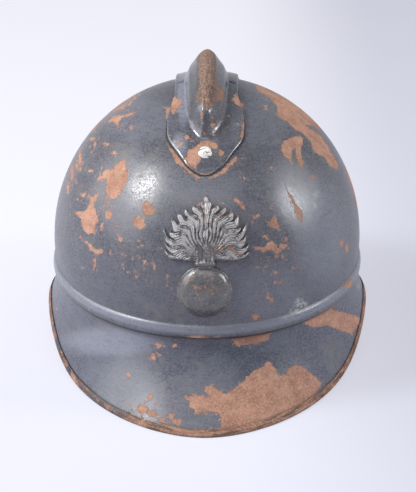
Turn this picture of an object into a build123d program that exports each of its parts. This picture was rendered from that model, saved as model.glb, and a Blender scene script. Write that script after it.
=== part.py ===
from build123d import *
import math
import os

# A steel combat helmet: an ellipsoid skull with a rolled bead, a visor, a neck guard,
# a comb, a badge, a leather liner and a chin strap. Lengths are in millimetres.
# Every piece is shaped round the middle of the skull's ellipsoid, front towards -Y,
# and then placed, so that the origin is on the floor under the middle of the brim.

# Skull, over its outside
SKULL_WIDTH = 188.0
SKULL_LENGTH = 216.0
SKULL_RISE = 94.5
SKULL_HEIGHT = 62.6
SHEET = 0.7
SEAT_GAP = 0.05

# Rolled bead round the foot of the skull
BEAD_DROP = 14.8
BEAD_HEIGHT = 8.4
BEAD_BULGE = 1.8
COLLAR_TOP_DROP = 10.5

# Brim: the visor in front and the neck guard behind
FRONT_REACH = 143.0
REAR_REACH = 145.0
BRIM_WIDTH = 198.8
SIDE_EDGE_DROP = 40.0
LAP_LENGTH = 7.0
LAP_GAP = 0.2
JOGGLE_LENGTH = 4.0
SIDE_GAP = 0.2
EDGE_ROUND_SHARE = 1.85
ARCH_SHARE = 8.0
FLARE_SHARES = ((0.0, 0.0), (0.0, 0.28), (0.60, 0.72), (1.0, 1.0))
COLLAR_ROW_SHARES = (0.0, 0.5, 1.0)
FLARE_ROW_SHARES = (0.12, 0.28, 0.46, 0.62, 0.72, 0.84, 0.92, 1.0)
JOGGLE_END_SHARES = (0.72, 0.84)
BRIM_COLUMNS = 16
JOGGLE_COLUMN_SHARE = 0.5

# Folded binding on the edge of the brim
BINDING_SHEET = 0.6
BINDING_GAP = 0.1
BINDING_WIDTH = 3.3
BINDING_FLAT = 0.12

# Comb on the crown
COMB_SHEET = 0.7
COMB_BED_WIDTH = 170.0
COMB_BED_LENGTH = 205.6
COMB_BED_RISE = 99.0
COMB_BAND_WIDTH = 37.4
COMB_SPOON_WIDTH = 44.4
COMB_REACH = 76.0
COMB_TIP_WIDTH = 13.0
COMB_NECK_REACH = 19.0
COMB_SHOULDER_REACH = 37.0
COMB_SPOON_REACH = 52.5
COMB_CORNER_RADIUS = 9.0
COMB_NECK_RADIUS = 14.0

# Raised crest of the comb
CREST_RISE = 112.0
CREST_LENGTH = 236.0
CREST_FOOT_WIDTH = 25.0
CREST_NOSE_REACH = 57.0
CREST_SKIRT = 8.0
CREST_STATION_SHARES = (0.0, 0.25, 0.48, 0.66, 0.79, 0.88, 0.94, 0.975, 1.0)
CREST_WIDTH_SHARES = (1.0, 0.985, 0.93, 0.86, 0.73, 0.53, 0.34, 0.2, 0.1)
CREST_HEIGHT_SHARES = (1.0, 1.0, 1.0, 1.0, 0.98, 0.9, 0.72, 0.45, 0.15)
CREST_SHOULDER_SHARES = ((0.87, 0.3), (0.66, 0.52), (0.4, 0.8), (0.0, 1.0))
VENT_LENGTH = 60.0
VENT_WIDTH = 12.0

# Rivets that hold the comb
RIVET_HEAD = 8.4
RIVET_HEAD_HEIGHT = 1.9
SIDE_RIVET_HEAD = 5.0
SIDE_RIVET_HEAD_HEIGHT = 1.3
RIVET_SHANK = 3.0
RIVET_TAIL = 5.0
RIVET_TAIL_HEIGHT = 1.0
RIVET_TAIL_GAP = 0.35
RIVET_FIT = 0.05
RIVET_REACH = 64.6
SIDE_RIVET_PLACE = 15.8

# Badge on the front: a ball with flames
BADGE_SHEET = 0.9
BALL_WIDTH = 29.4
BALL_HEIGHT = 4.2
BALL_RISE = 12.0
BADGE_COLLAR_WIDTH = 16.0
BADGE_COLLAR_HEIGHT = 4.0
BADGE_COLLAR_PROUD = 2.2
FLAME_WIDTH = 49.4
FLAME_FOOT_RISE = 27.6
FLAME_TOP_RISE = 59.3
FLAME_LEAF_WIDTH = 7.4
FLAME_TIP_SHARES = (
    (0.0, 1.0),
    (0.42, 0.9),
    (0.65, 0.74),
    (0.82, 0.64),
    (0.94, 0.45),
    (0.99, 0.29),
    (1.0, 0.12),
)
FLAME_PROUD_SHARES = (2.3, 1.7, 2.1, 1.6, 2.0, 1.5, 1.8)
PRONG_WIDTH = 4.0
PRONG_LENGTH = 4.0
PRONG_FIT = 0.3

# Headband stack inside the skull, from the wall inwards
CLIP_SHEET = 0.5
CLIP_ARC = 6.5
CLIP_TOP = 6.0
CLIP_HOOK_TOP = 2.0
CLIP_DROP = 10.0
SOFT_GAP = 0.3
WAVE_DEPTH = 4.4
WAVE_SHEET = 0.5
WAVE_COUNT = 11
WAVE_ARC = 54.0
SPACER_FOOT = -8.5
SPACER_TOP = 7.5
CLOTH = 1.3
CLOTH_TOP = 8.5
LEATHER = 1.5
LINER_RISE = 78.0
LINER_MOUTH = 40.0
TONGUES = 7
GAP_FOOT_PLACE = 68.0
GAP_FOOT_WIDTH = 2.4
GAP_MOUTH_WIDTH = 11.0
LACE_HOLE = 3.5
LACE_HOLE_PLACE = 27.0

# Lugs, hangers and chin strap
PIVOT_DROP = 21.6
PIVOT_PLACE = 86.8
PIVOT_PIN = 3.0
PIVOT_FIT = 0.05
PIN_HEAD = 5.6
PIN_HEAD_HEIGHT = 1.1
LUG_WIDTH = 12.0
LUG_SHEET = 1.2
LUG_WALL_FOOT_DROP = 15.0
LUG_FOOT_DROP = 26.6
HANGER_SHEET = 1.2
HANGER_NECK = 8.0
HANGER_GAP = 0.1
HANGER_SLOT_START = 5.5
HANGER_SLOT_LENGTH = 6.5
HANGER_BAR = 2.4
STRAP_WIDTH = 18.0
STRAP_THICKNESS = 1.8
STRAP_REACH = 90.0
STRAP_BEND_PLACE = 66.0
STRAP_BEND_REACH = 62.0
STRAP_BACK_PLACE = 38.0
STRAP_BEND_RADIUS = 26.0
STRAP_REST_GAP = 0.3
BUCKLE_LENGTH = 12.0
BUCKLE_SHEET = 0.9
BUCKLE_BAR = 2.6
BUCKLE_PLACE = 20.0
OVERRUN = 5.0

STRETCH_SHARE = SKULL_LENGTH / SKULL_WIDTH
SKULL_PLACE = Pos(0, (FRONT_REACH - REAR_REACH) / 2, SKULL_HEIGHT)
BINDING_RADIUS = SHEET / 2 + BINDING_GAP + BINDING_SHEET
BEAD_TOP = BEAD_HEIGHT / 2 - BEAD_DROP
BEAD_FOOT = -BEAD_HEIGHT / 2 - BEAD_DROP


def stretched(part):
    """Lengthens a round piece front to back, as the skull is."""
    return scale(part, by=(1, STRETCH_SHARE, 1))


def ellipsoid(width, length, rise):
    """A whole ellipsoid round the middle of the skull."""
    shares = (width / SKULL_WIDTH, length / SKULL_WIDTH, 2 * rise / SKULL_WIDTH)
    return scale(Sphere(SKULL_WIDTH / 2), by=shares)


def skull_solid(grow):
    """The skull's outer form, grown by a distance."""
    return ellipsoid(SKULL_WIDTH + 2 * grow, SKULL_LENGTH + 2 * grow, SKULL_RISE + grow)


def skull_radius(z, inset):
    """Radius of the round skull at height z, inset from its outside."""
    return (SKULL_WIDTH / 2 - inset) * math.sqrt(1 - (z / (SKULL_RISE - inset)) ** 2)


def arc_up(half, rise, z):
    """Part of an ellipse from height z up to its top."""
    start = math.degrees(math.asin(z / rise))
    return EllipticalCenterArc((0, 0), half, rise, start_angle=start, arc_size=90 - start)


def turned(curve, arc=360.0):
    """Turns a closed outline in the radius and height plane round the axis."""
    return revolve(Plane.XZ * make_face(curve), Axis.Z, revolution_arc=arc)


COLLAR_BORE = skull_radius(BEAD_TOP - SHEET, SHEET)
COLLAR_MIDDLE = COLLAR_BORE - SEAT_GAP - SHEET / 2
WALL = skull_radius(-CLIP_DROP, SHEET) - SEAT_GAP


def skull_profile():
    """Sheet of the skull with the bead rolled out of its foot."""
    top = skull_radius(BEAD_TOP, 0)
    inner_foot = BEAD_TOP - SHEET
    outer = arc_up(SKULL_WIDTH / 2, SKULL_RISE, BEAD_TOP)
    inner = arc_up(SKULL_WIDTH / 2 - SHEET, SKULL_RISE - SHEET, inner_foot)
    half = BEAD_HEIGHT / 2
    middle = (top, -BEAD_DROP)
    roll = EllipticalCenterArc(middle, BEAD_BULGE, half, start_angle=-90, arc_size=180)
    bore = EllipticalCenterArc(
        middle, BEAD_BULGE - SHEET, half - SHEET, start_angle=-90, arc_size=180
    )
    lip = Polyline((top, BEAD_FOOT), (COLLAR_BORE, BEAD_FOOT), (COLLAR_BORE, BEAD_FOOT + SHEET), bore @ 0)
    return outer + roll + lip + bore + Line(bore @ 1, inner @ 0) + inner + Line(inner @ 1, outer @ 1)


def surface_plane(x, y, width, length, rise):
    """Plane on top of an ellipsoid over a place, looking out of it."""
    z = rise * math.sqrt(1 - (2 * x / width) ** 2 - (2 * y / length) ** 2)
    normal = (4 * x / width**2, 4 * y / length**2, z / rise**2)
    return Plane(origin=(x, y, z), z_dir=normal)


def comb_rivet_planes():
    """Seats of the front, rear, left and right rivets on the comb."""
    places = (
        (0, -RIVET_REACH),
        (0, RIVET_REACH),
        (-SIDE_RIVET_PLACE, 0),
        (SIDE_RIVET_PLACE, 0),
    )
    return [comb_surface_plane(x, y) for x, y in places]


def comb_surface_plane(x, y):
    """Plane on the comb's outside: its bed, or its skin on the skull where that is higher."""
    skin = 2 * (COMB_SHEET + SEAT_GAP)
    bed = surface_plane(x, y, COMB_BED_WIDTH, COMB_BED_LENGTH, COMB_BED_RISE)
    low = surface_plane(x, y, SKULL_WIDTH + skin, SKULL_LENGTH + skin, SKULL_RISE + skin / 2)
    return bed if bed.origin.Z > low.origin.Z else low


def skull_shell():
    """The drawn skull, with the vent under the comb, rivet holes and slits for the badge."""
    shell = stretched(turned(skull_profile()))
    vent = extrude(SlotOverall(VENT_LENGTH, VENT_WIDTH, rotation=90), SKULL_RISE + OVERRUN)
    shell -= vent
    for plane in comb_rivet_planes():
        shell -= plane * Cylinder(RIVET_SHANK / 2 + RIVET_FIT, 4 * OVERRUN)
    for prong in badge_prongs(PRONG_FIT):
        shell -= prong
    return shell


def brim_edge_radius(angle, reach):
    """Radius of the brim's edge in round space, on a superellipse."""
    half = BRIM_WIDTH / 2 - BINDING_RADIUS
    across = abs(math.cos(angle) / half) ** EDGE_ROUND_SHARE
    along = abs(STRETCH_SHARE * math.sin(angle) / (reach - BINDING_RADIUS)) ** EDGE_ROUND_SHARE
    return (across + along) ** (-1 / EDGE_ROUND_SHARE)


def brim_point(angle, run):
    """Middle of the brim's sheet. run is 0 to 1 down the collar and 1 to 2 out to the edge."""
    reach = FRONT_REACH if math.sin(angle) < 0 else REAR_REACH
    if run <= 1:
        radius = COLLAR_MIDDLE
        z = -COLLAR_TOP_DROP + run * (BEAD_FOOT + COLLAR_TOP_DROP)
    else:
        floor = BINDING_RADIUS - BINDING_FLAT - SKULL_HEIGHT
        edge = -SIDE_EDGE_DROP + (floor + SIDE_EDGE_DROP) * (1 - abs(math.cos(angle)) ** ARCH_SHARE)
        spread = brim_edge_radius(angle, reach) - COLLAR_MIDDLE
        t = run - 1
        weights = ((1 - t) ** 3, 3 * t * (1 - t) ** 2, 3 * t**2 * (1 - t), t**3)
        radius = COLLAR_MIDDLE + spread * sum(w * s[0] for w, s in zip(weights, FLARE_SHARES))
        z = BEAD_FOOT + (edge - BEAD_FOOT) * sum(w * s[1] for w, s in zip(weights, FLARE_SHARES))
    return Vector(radius * math.cos(angle), STRETCH_SHARE * radius * math.sin(angle), z)


def brim_edge_frame(angle):
    """Point on the brim's edge, with its directions out along the sheet and along the rim."""
    step_share = 0.001
    point = brim_point(angle, 2)
    out = point - brim_point(angle, 2 - step_share)
    along = brim_point(angle + step_share, 2) - brim_point(angle - step_share, 2)
    return point, out.normalized(), along.normalized()


def lap_angle(length):
    """Angle that a length of the brim's side takes."""
    return length / (STRETCH_SHARE * BRIM_WIDTH / 2)


def smooth(value):
    """Goes from 0 to 1 without a corner, and stays there."""
    value = min(max(value, 0), 1)
    return value * value * (3 - 2 * value)


def joggle(angle, run):
    """How far in the neck guard's ends step, to pass behind the visor."""
    past_side = min(angle, math.pi - angle)
    across = 1 - smooth(past_side / lap_angle(JOGGLE_LENGTH))
    low, high = (1 + share for share in JOGGLE_END_SHARES)
    down = 1 - smooth((run - low) / (high - low))
    return -(SHEET + LAP_GAP) * across * down


def even_angles(start, end):
    """Angles of the sections of a plain sheet."""
    return [start + (end - start) * i / BRIM_COLUMNS for i in range(BRIM_COLUMNS + 1)]


def visor_angles():
    """Angles of the visor's sections, from side to side."""
    gap = lap_angle(SIDE_GAP)
    return even_angles(math.pi + gap, 2 * math.pi - gap)


def neck_guard_angles():
    """Angles of the neck guard's sections, closer together where its ends step in."""
    lap = lap_angle(LAP_LENGTH)
    step = lap_angle(JOGGLE_LENGTH) * JOGGLE_COLUMN_SHARE
    count = math.ceil((lap + 2 * lap_angle(JOGGLE_LENGTH)) / step)
    near = [step * i - lap for i in range(count)]
    far = [math.pi - angle for angle in reversed(near)]
    return near[:-1] + even_angles(near[-1], far[0]) + far[1:]


def brim_section(angle, step_in):
    """The sheet's section in the upright plane through the middle, at an angle."""
    runs = list(COLLAR_ROW_SHARES) + [1 + share for share in FLARE_ROW_SHARES]
    outer = []
    inner = []
    for run in runs:
        x, z, lean_x, lean_z = brim_slope(angle, run)
        middle = step_in(angle, run)
        outer.append((x + lean_z * (middle + SHEET / 2), z - lean_x * (middle + SHEET / 2)))
        inner.append((x + lean_z * (middle - SHEET / 2), z - lean_x * (middle - SHEET / 2)))
    top = Spline(outer)
    under = Spline(inner[::-1])
    outline = top + Line(top @ 1, under @ 0) + under + Line(under @ 1, top @ 0)
    ahead = Vector(math.cos(angle), STRETCH_SHARE * math.sin(angle)).normalized()
    plane = Plane(origin=(0, 0, 0), x_dir=ahead, z_dir=(ahead.Y, -ahead.X, 0))
    return plane * make_face(outline)


def brim_slope(angle, run):
    """Place and upward slope of the sheet within its upright plane."""
    step_share = 0.001
    low = brim_point(angle, max(run - step_share, 0))
    high = brim_point(angle, min(run + step_share, 2))
    point = brim_point(angle, run)
    across = math.hypot(high.X, high.Y) - math.hypot(low.X, low.Y)
    length = math.hypot(across, high.Z - low.Z)
    return math.hypot(point.X, point.Y), point.Z, -across / length, (low.Z - high.Z) / length


def visor():
    """Front brim, from side to side."""
    return loft([brim_section(angle, lambda angle, run: 0) for angle in visor_angles()])


def neck_guard():
    """Rear brim, whose stepped ends pass behind the visor's."""
    sheet = loft([brim_section(angle, joggle) for angle in neck_guard_angles()])
    edge = brim_point(0, 1 + JOGGLE_END_SHARES[0])
    foot = SKULL_HEIGHT + OVERRUN
    side = Pos(0, -foot / 2 + SIDE_GAP, edge.Z - foot / 2) * Box(SKULL_LENGTH, foot, foot)
    return sheet - side


def binding_section(angle):
    """The folded strip's section, square to the brim's edge."""
    point, out, along = brim_edge_frame(angle)
    plane = Plane(origin=point, x_dir=out, z_dir=along)
    inner = SHEET / 2 + BINDING_GAP
    outline = Polyline(
        (0, inner),
        (-BINDING_WIDTH, inner),
        (-BINDING_WIDTH, BINDING_RADIUS),
        (0, BINDING_RADIUS),
    )
    outline += RadiusArc((0, BINDING_RADIUS), (0, -BINDING_RADIUS), BINDING_RADIUS)
    outline += Polyline(
        (0, -BINDING_RADIUS),
        (-BINDING_WIDTH, -BINDING_RADIUS),
        (-BINDING_WIDTH, -inner),
        (BINDING_GAP, -inner),
        (BINDING_GAP, inner),
        (0, inner),
    )
    return plane * make_face(outline)


def binding(angles):
    """Folded strip round the edge, worn flat where it meets the floor."""
    strip = loft([binding_section(angle) for angle in angles])
    floor = Pos(0, 0, -SKULL_HEIGHT - OVERRUN) * Box(4 * REAR_REACH, 4 * REAR_REACH, 2 * OVERRUN)
    return strip - floor


def neck_guard_binding():
    """Folded strip round the neck guard, short of its stepped ends."""
    gap = lap_angle(SIDE_GAP)
    inside = [angle for angle in neck_guard_angles() if gap < angle < math.pi - gap]
    return binding([gap] + inside + [math.pi - gap])


def comb_outline(inset):
    """Half the comb in plan, seen from above: a band that widens to a spoon at each end."""
    tip = COMB_TIP_WIDTH / 2 - inset / 2
    spoon = COMB_SPOON_WIDTH / 2 - inset
    band = COMB_BAND_WIDTH / 2 - inset
    right = [
        (tip, inset - COMB_REACH),
        (spoon, inset / 2 - COMB_SPOON_REACH),
        (spoon, -COMB_SHOULDER_REACH),
        (band, -COMB_NECK_REACH),
        (band, COMB_NECK_REACH),
        (spoon, COMB_SHOULDER_REACH),
        (spoon, COMB_SPOON_REACH - inset / 2),
        (tip, COMB_REACH - inset),
    ]
    left = [(-x, y) for x, y in reversed(right)]
    face = make_face(Polyline(right + left, close=True))
    corners = [v for v in face.vertices() if abs(v.Y) > COMB_NECK_REACH + OVERRUN]
    sharp = [v for v in corners if abs(v.Y) > COMB_SHOULDER_REACH + OVERRUN]
    face = fillet(sharp, COMB_CORNER_RADIUS - inset)
    necks = [v for v in face.vertices() if abs(abs(v.Y) - COMB_NECK_REACH) < OVERRUN]
    return fillet(necks, COMB_NECK_RADIUS)


def crest_section(share, inset):
    """The crest's section across, at a share of its half length from the middle."""
    index = CREST_STATION_SHARES.index(abs(share))
    y = share * CREST_NOSE_REACH
    bed = COMB_BED_RISE * math.sqrt(1 - (2 * y / COMB_BED_LENGTH) ** 2)
    ridge = CREST_RISE * math.sqrt(1 - (2 * y / CREST_LENGTH) ** 2)
    half = CREST_FOOT_WIDTH / 2 * CREST_WIDTH_SHARES[index] - inset
    height = (ridge - bed) * CREST_HEIGHT_SHARES[index] - inset
    right = [Vector(half * w, bed + height * h) for w, h in CREST_SHOULDER_SHARES]
    left = [Vector(-p.X, p.Y) for p in reversed(right[:-1])]
    foot = bed - CREST_SKIRT
    crown = Spline(right + left)
    sides = Polyline(crown @ 1, (-half, foot), (half, foot), crown @ 0)
    return Plane(origin=(0, y, 0), x_dir=(1, 0, 0), z_dir=(0, -1, 0)) * make_face(crown + sides)


def crest(inset):
    """The raised ridge, pointed at both ends like a boat."""
    ahead = [-share for share in reversed(CREST_STATION_SHARES[1:])]
    stations = ahead + list(CREST_STATION_SHARES)
    if inset:
        stations = [share for share in stations if abs(share) < CREST_STATION_SHARES[-2]]
    return loft([crest_section(share, inset) for share in stations])


def comb_form(inset):
    """The comb filled down past the skull, or its hollow when inset."""
    bed = ellipsoid(
        COMB_BED_WIDTH - 2 * inset, COMB_BED_LENGTH - 2 * inset, COMB_BED_RISE - inset
    )
    plan = extrude(Pos(0, 0, OVERRUN) * comb_outline(inset), CREST_RISE + OVERRUN)
    if not inset:
        bed += skull_solid(COMB_SHEET + SEAT_GAP)
    return (bed & plan) + crest(inset)


def comb():
    """Hollow pressing with a spoon at each end and a crest between them."""
    piece = comb_form(0) - comb_form(COMB_SHEET) - skull_solid(SEAT_GAP)
    for plane in comb_rivet_planes():
        piece -= plane * Cylinder(RIVET_SHANK / 2 + RIVET_FIT, 2 * OVERRUN)
    return piece


def rivet(head, height, grip):
    """Dome head on a shank, with a small upset tail."""
    radius = (head**2 / 4 + height**2) / (2 * height)
    ball = Pos(0, 0, height - radius) * Sphere(radius)
    dome = ball & Pos(0, 0, height / 2) * Cylinder(head, height)
    shank = Pos(0, 0, -grip / 2) * Cylinder(RIVET_SHANK / 2, grip)
    tail = Pos(0, 0, -grip - RIVET_TAIL_HEIGHT / 2) * Cone(
        RIVET_SHANK / 2, RIVET_TAIL / 2, RIVET_TAIL_HEIGHT
    )
    return dome + shank + tail


def rivet_grip(plane):
    """Distance from the comb's outside to the skull's inside along a rivet."""
    step_share = 0.01
    depth = 0
    direction = plane.z_dir
    inner = (SKULL_WIDTH / 2 - SHEET, SKULL_LENGTH / 2 - SHEET, SKULL_RISE - SHEET)
    point = plane.origin
    while sum((p / r) ** 2 for p, r in zip(point, inner)) > 1:
        depth += SHEET * step_share
        point = plane.origin - direction * depth
    return depth + RIVET_TAIL_GAP


def comb_rivets(planes, head, height):
    """Rivets of one size in their seats."""
    lift = Pos(0, 0, SEAT_GAP)
    pieces = [plane * lift * rivet(head, height, rivet_grip(plane) + SEAT_GAP) for plane in planes]
    return Compound(pieces)


def flame_leaf(tip_x, tip_z):
    """One tongue of flame in front view, from the collar out to its tip."""
    foot = Vector(tip_x / 4, FLAME_FOOT_RISE - SEAT_GAP)
    tip = Vector(tip_x, tip_z)
    lean = (tip - foot).normalized()
    side = Vector(-lean.Y, lean.X) * FLAME_LEAF_WIDTH / 2
    belly = (foot + tip) / 2
    left = ThreePointArc(foot + side / 2, belly + side, tip)
    right = ThreePointArc(tip, belly - side, foot - side / 2)
    return make_face(left + right + Line(right @ 1, left @ 0))


def on_front(sketch, proud):
    """A front view outline raised off the skull's front as a skin."""
    bar = extrude(Plane.XZ * sketch, SKULL_LENGTH)
    return (bar & skull_solid(SEAT_GAP + proud)) - skull_solid(SEAT_GAP)


def badge_flames():
    """The fan of flame tongues, alike left and right."""
    fan = None
    height = FLAME_TOP_RISE - FLAME_FOOT_RISE
    for (across, up), proud in zip(FLAME_TIP_SHARES, FLAME_PROUD_SHARES):
        for side in (-1, 1) if across else (1,):
            leaf = flame_leaf(side * across * FLAME_WIDTH / 2, FLAME_FOOT_RISE + up * height)
            tongue = on_front(leaf, proud * BADGE_SHEET)
            fan = tongue if fan is None else fan + tongue
    return fan


def badge_ball():
    """The domed ball, seated square to the skull's front."""
    radius = (BALL_WIDTH**2 / 4 + BALL_HEIGHT**2) / (2 * BALL_HEIGHT)
    y = -SKULL_LENGTH / 2 * math.sqrt(1 - (BALL_RISE / SKULL_RISE) ** 2)
    normal = Vector(0, 4 * y / SKULL_LENGTH**2, BALL_RISE / SKULL_RISE**2).normalized()
    middle = Vector(0, y, BALL_RISE) - normal * (radius - BALL_HEIGHT)
    return Pos(middle) * Sphere(radius) - skull_solid(SEAT_GAP)


def badge_prongs(grow):
    """Two tabs that pass through the skull, or their slits when grown."""
    places = (BALL_RISE, (FLAME_FOOT_RISE + FLAME_TOP_RISE) / 2)
    prongs = []
    for z in places:
        y = -SKULL_LENGTH / 2 * math.sqrt(1 - (z / SKULL_RISE) ** 2)
        block = Box(PRONG_WIDTH + grow, 2 * PRONG_LENGTH, BADGE_SHEET + grow)
        prongs.append(Pos(0, y + PRONG_LENGTH - SHEET / 2, z) * block)
    return prongs


def badge():
    """Pressed flaming ball with its fixing tabs."""
    collar = Pos(0, FLAME_FOOT_RISE) * Rectangle(BADGE_COLLAR_WIDTH, BADGE_COLLAR_HEIGHT)
    collar = fillet(collar.vertices(), BADGE_COLLAR_HEIGHT / 3)
    piece = badge_flames() + on_front(collar, BADGE_COLLAR_PROUD) + badge_ball()
    for prong in badge_prongs(0):
        piece += prong
    return piece


def ring(outer, inner, foot, top):
    """A round band stretched with the skull."""
    band = Cylinder(outer, top - foot) - Cylinder(inner, top - foot)
    return stretched(Pos(0, 0, (foot + top) / 2) * band)


SPACER_OUTER = WALL - CLIP_SHEET - SOFT_GAP
SPACER_INNER = SPACER_OUTER - WAVE_DEPTH
CLOTH_OUTER = SPACER_INNER - SOFT_GAP
LEATHER_OUTER = CLOTH_OUTER - CLOTH - SOFT_GAP
LEATHER_INNER = LEATHER_OUTER - LEATHER
HOOK_OUTER = LEATHER_INNER - SOFT_GAP
BAND_FOOT = CLIP_SHEET + SOFT_GAP - CLIP_DROP


def liner_clip(angle):
    """Bent clip that carries the headband: wall leg, floor and hook."""
    outline = Polyline(
        (WALL, -CLIP_DROP),
        (WALL, CLIP_TOP),
        (WALL - CLIP_SHEET, CLIP_TOP),
        (WALL - CLIP_SHEET, CLIP_SHEET - CLIP_DROP),
        (HOOK_OUTER, CLIP_SHEET - CLIP_DROP),
        (HOOK_OUTER, CLIP_HOOK_TOP),
        (HOOK_OUTER - CLIP_SHEET, CLIP_HOOK_TOP),
        (HOOK_OUTER - CLIP_SHEET, -CLIP_DROP),
        close=True,
    )
    return stretched(Rot(0, 0, angle - CLIP_ARC / 2) * turned(outline, CLIP_ARC))


def liner_clips():
    """Four clips on the diagonals, between the spacers."""
    return Compound([liner_clip(45 + 90 * i) for i in range(4)])


def spacer(angle):
    """Corrugated strip bent to the headband's curve."""
    steps = 4 * WAVE_COUNT
    crests = (0, 0, 1, 1)
    outer = []
    inner = []
    for i in range(steps + 1):
        turn = math.radians(angle - WAVE_ARC / 2 + WAVE_ARC * i / steps)
        radius = SPACER_INNER + (WAVE_DEPTH - WAVE_SHEET) * crests[i % 4]
        inner.append((radius * math.cos(turn), radius * math.sin(turn)))
        radius += WAVE_SHEET
        outer.append((radius * math.cos(turn), radius * math.sin(turn)))
    face = make_face(Polyline(outer + inner[::-1], close=True))
    return stretched(extrude(Pos(0, 0, SPACER_FOOT) * face, SPACER_TOP - SPACER_FOOT))


def cloth_band():
    """Woollen strip between the spacers and the leather."""
    return ring(CLOTH_OUTER, CLOTH_OUTER - CLOTH, BAND_FOOT, CLOTH_TOP)


def liner_profile():
    """Leather headband that curves up into the crown."""
    lean = math.degrees(math.acos(LINER_MOUTH / 2 / LEATHER_OUTER))
    outer = EllipticalCenterArc((0, 0), LEATHER_OUTER, LINER_RISE, start_angle=0, arc_size=lean)
    inner = EllipticalCenterArc(
        (0, 0), LEATHER_INNER, LINER_RISE - LEATHER, start_angle=0, arc_size=lean
    )
    foot = Polyline(outer @ 0, (LEATHER_OUTER, BAND_FOOT), (LEATHER_INNER, BAND_FOOT), inner @ 0)
    return outer + foot + inner + Line(inner @ 1, outer @ 1)


def leather_liner():
    """Headband and seven tongues with a lace hole in each."""
    liner = turned(liner_profile())
    mouth = LINER_MOUTH / 4
    gap = make_face(
        Polyline(
            (mouth, -GAP_MOUTH_WIDTH / 2),
            (GAP_FOOT_PLACE, -GAP_FOOT_WIDTH / 2),
            (GAP_FOOT_PLACE, GAP_FOOT_WIDTH / 2),
            (mouth, GAP_MOUTH_WIDTH / 2),
            close=True,
        )
    ) + Pos(GAP_FOOT_PLACE, 0) * Circle(GAP_FOOT_WIDTH / 2)
    gap_bar = extrude(gap, LINER_RISE)
    hole_bar = Pos(LACE_HOLE_PLACE, 0, LINER_RISE / 2) * Cylinder(LACE_HOLE / 2, LINER_RISE)
    pitch = 360 / TONGUES
    for i in range(TONGUES):
        liner -= Rot(0, 0, -90 + pitch * (i + 1 / 2)) * gap_bar
        liner -= Rot(0, 0, -90 + pitch * i) * hole_bar
    return stretched(liner)


HANGER_OUTER = PIVOT_PLACE - HANGER_GAP
HANGER_MIDDLE = HANGER_OUTER - HANGER_SHEET / 2
BAR_REACH = HANGER_SLOT_START + HANGER_SLOT_LENGTH + HANGER_BAR / 2
LOOP_RADIUS = max(HANGER_SHEET, HANGER_BAR) / 2 + SOFT_GAP + STRAP_THICKNESS
STRAP_TILT = math.degrees(
    math.asin((SKULL_HEIGHT - PIVOT_DROP - STRAP_REST_GAP) / math.hypot(STRAP_REACH, STRAP_WIDTH / 2))
    - math.atan(STRAP_WIDTH / 2 / STRAP_REACH)
)


def swung(part):
    """From the strap's own plane, towards +Y of its pivot line, down to where it lies."""
    return Pos(0, 0, -PIVOT_DROP) * Rot(-STRAP_TILT, 0, 0) * part


def strap_lug(side):
    """Bent bracket brazed inside the collar, whose tab carries a hanger."""
    wall = COLLAR_MIDDLE - 3 / 2 * SHEET - LAP_GAP - SEAT_GAP
    wall = wall * math.sqrt(1 - (LUG_WIDTH / (STRETCH_SHARE * 2 * wall)) ** 2)
    outline = Polyline(
        (wall, -COLLAR_TOP_DROP),
        (wall, -LUG_WALL_FOOT_DROP - LUG_SHEET),
        (PIVOT_PLACE + LUG_SHEET, -LUG_WALL_FOOT_DROP - LUG_SHEET),
        (PIVOT_PLACE + LUG_SHEET, -LUG_FOOT_DROP),
        (PIVOT_PLACE, -LUG_FOOT_DROP),
        (PIVOT_PLACE, -LUG_WALL_FOOT_DROP),
        (wall - LUG_SHEET, -LUG_WALL_FOOT_DROP),
        (wall - LUG_SHEET, -COLLAR_TOP_DROP),
        close=True,
    )
    bracket = extrude(Plane.XZ * make_face(outline), LUG_WIDTH / 2, both=True)
    outside = PIVOT_PLACE + LUG_SHEET + OVERRUN
    bracket -= pivot_bar(PIVOT_PIN / 2 + PIVOT_FIT / 2, PIVOT_PLACE - OVERRUN, outside)
    return bracket if side > 0 else mirror(bracket, Plane.YZ)


def pivot_bar(radius, start, end):
    """A round bar along the pivot line between two places."""
    turn = Rot(0, 90, 0)
    return Pos((start + end) / 2, 0, -PIVOT_DROP) * turn * Cylinder(radius, end - start)


def pivot_pin(side):
    """Headed pin through a lug and its hanger."""
    outside = PIVOT_PLACE + LUG_SHEET
    inside = HANGER_OUTER - HANGER_SHEET - HANGER_GAP
    pin = pivot_bar(PIVOT_PIN / 2, inside - PIN_HEAD_HEIGHT, outside + PIN_HEAD_HEIGHT)
    pin += pivot_bar(PIN_HEAD / 2, inside - PIN_HEAD_HEIGHT, inside)
    pin += pivot_bar(PIN_HEAD / 2, outside, outside + PIN_HEAD_HEIGHT)
    return pin if side > 0 else mirror(pin, Plane.YZ)


def strap_hanger(side):
    """Flat stamped hanger: an eye on the pin and a slot for the strap."""
    wide = STRAP_WIDTH + 2 * SOFT_GAP
    slot_middle = HANGER_SLOT_START + HANGER_SLOT_LENGTH / 2
    frame = Pos(slot_middle, 0) * RectangleRounded(
        HANGER_SLOT_LENGTH + 2 * HANGER_BAR, wide + 2 * HANGER_BAR, HANGER_BAR
    )
    neck = Pos(HANGER_SLOT_START / 2, 0) * Rectangle(HANGER_SLOT_START, HANGER_NECK)
    eye = Circle(HANGER_NECK / 2) + neck
    plate = frame + eye - Pos(slot_middle, 0) * Rectangle(HANGER_SLOT_LENGTH, wide)
    plate -= Circle(PIVOT_PIN / 2 + PIVOT_FIT)
    plane = Plane(origin=(HANGER_OUTER - HANGER_SHEET, 0, 0), x_dir=(0, 1, 0), z_dir=(1, 0, 0))
    hanger = swung(extrude(plane * plate, HANGER_SHEET))
    return hanger if side > 0 else mirror(hanger, Plane.YZ)


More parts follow.
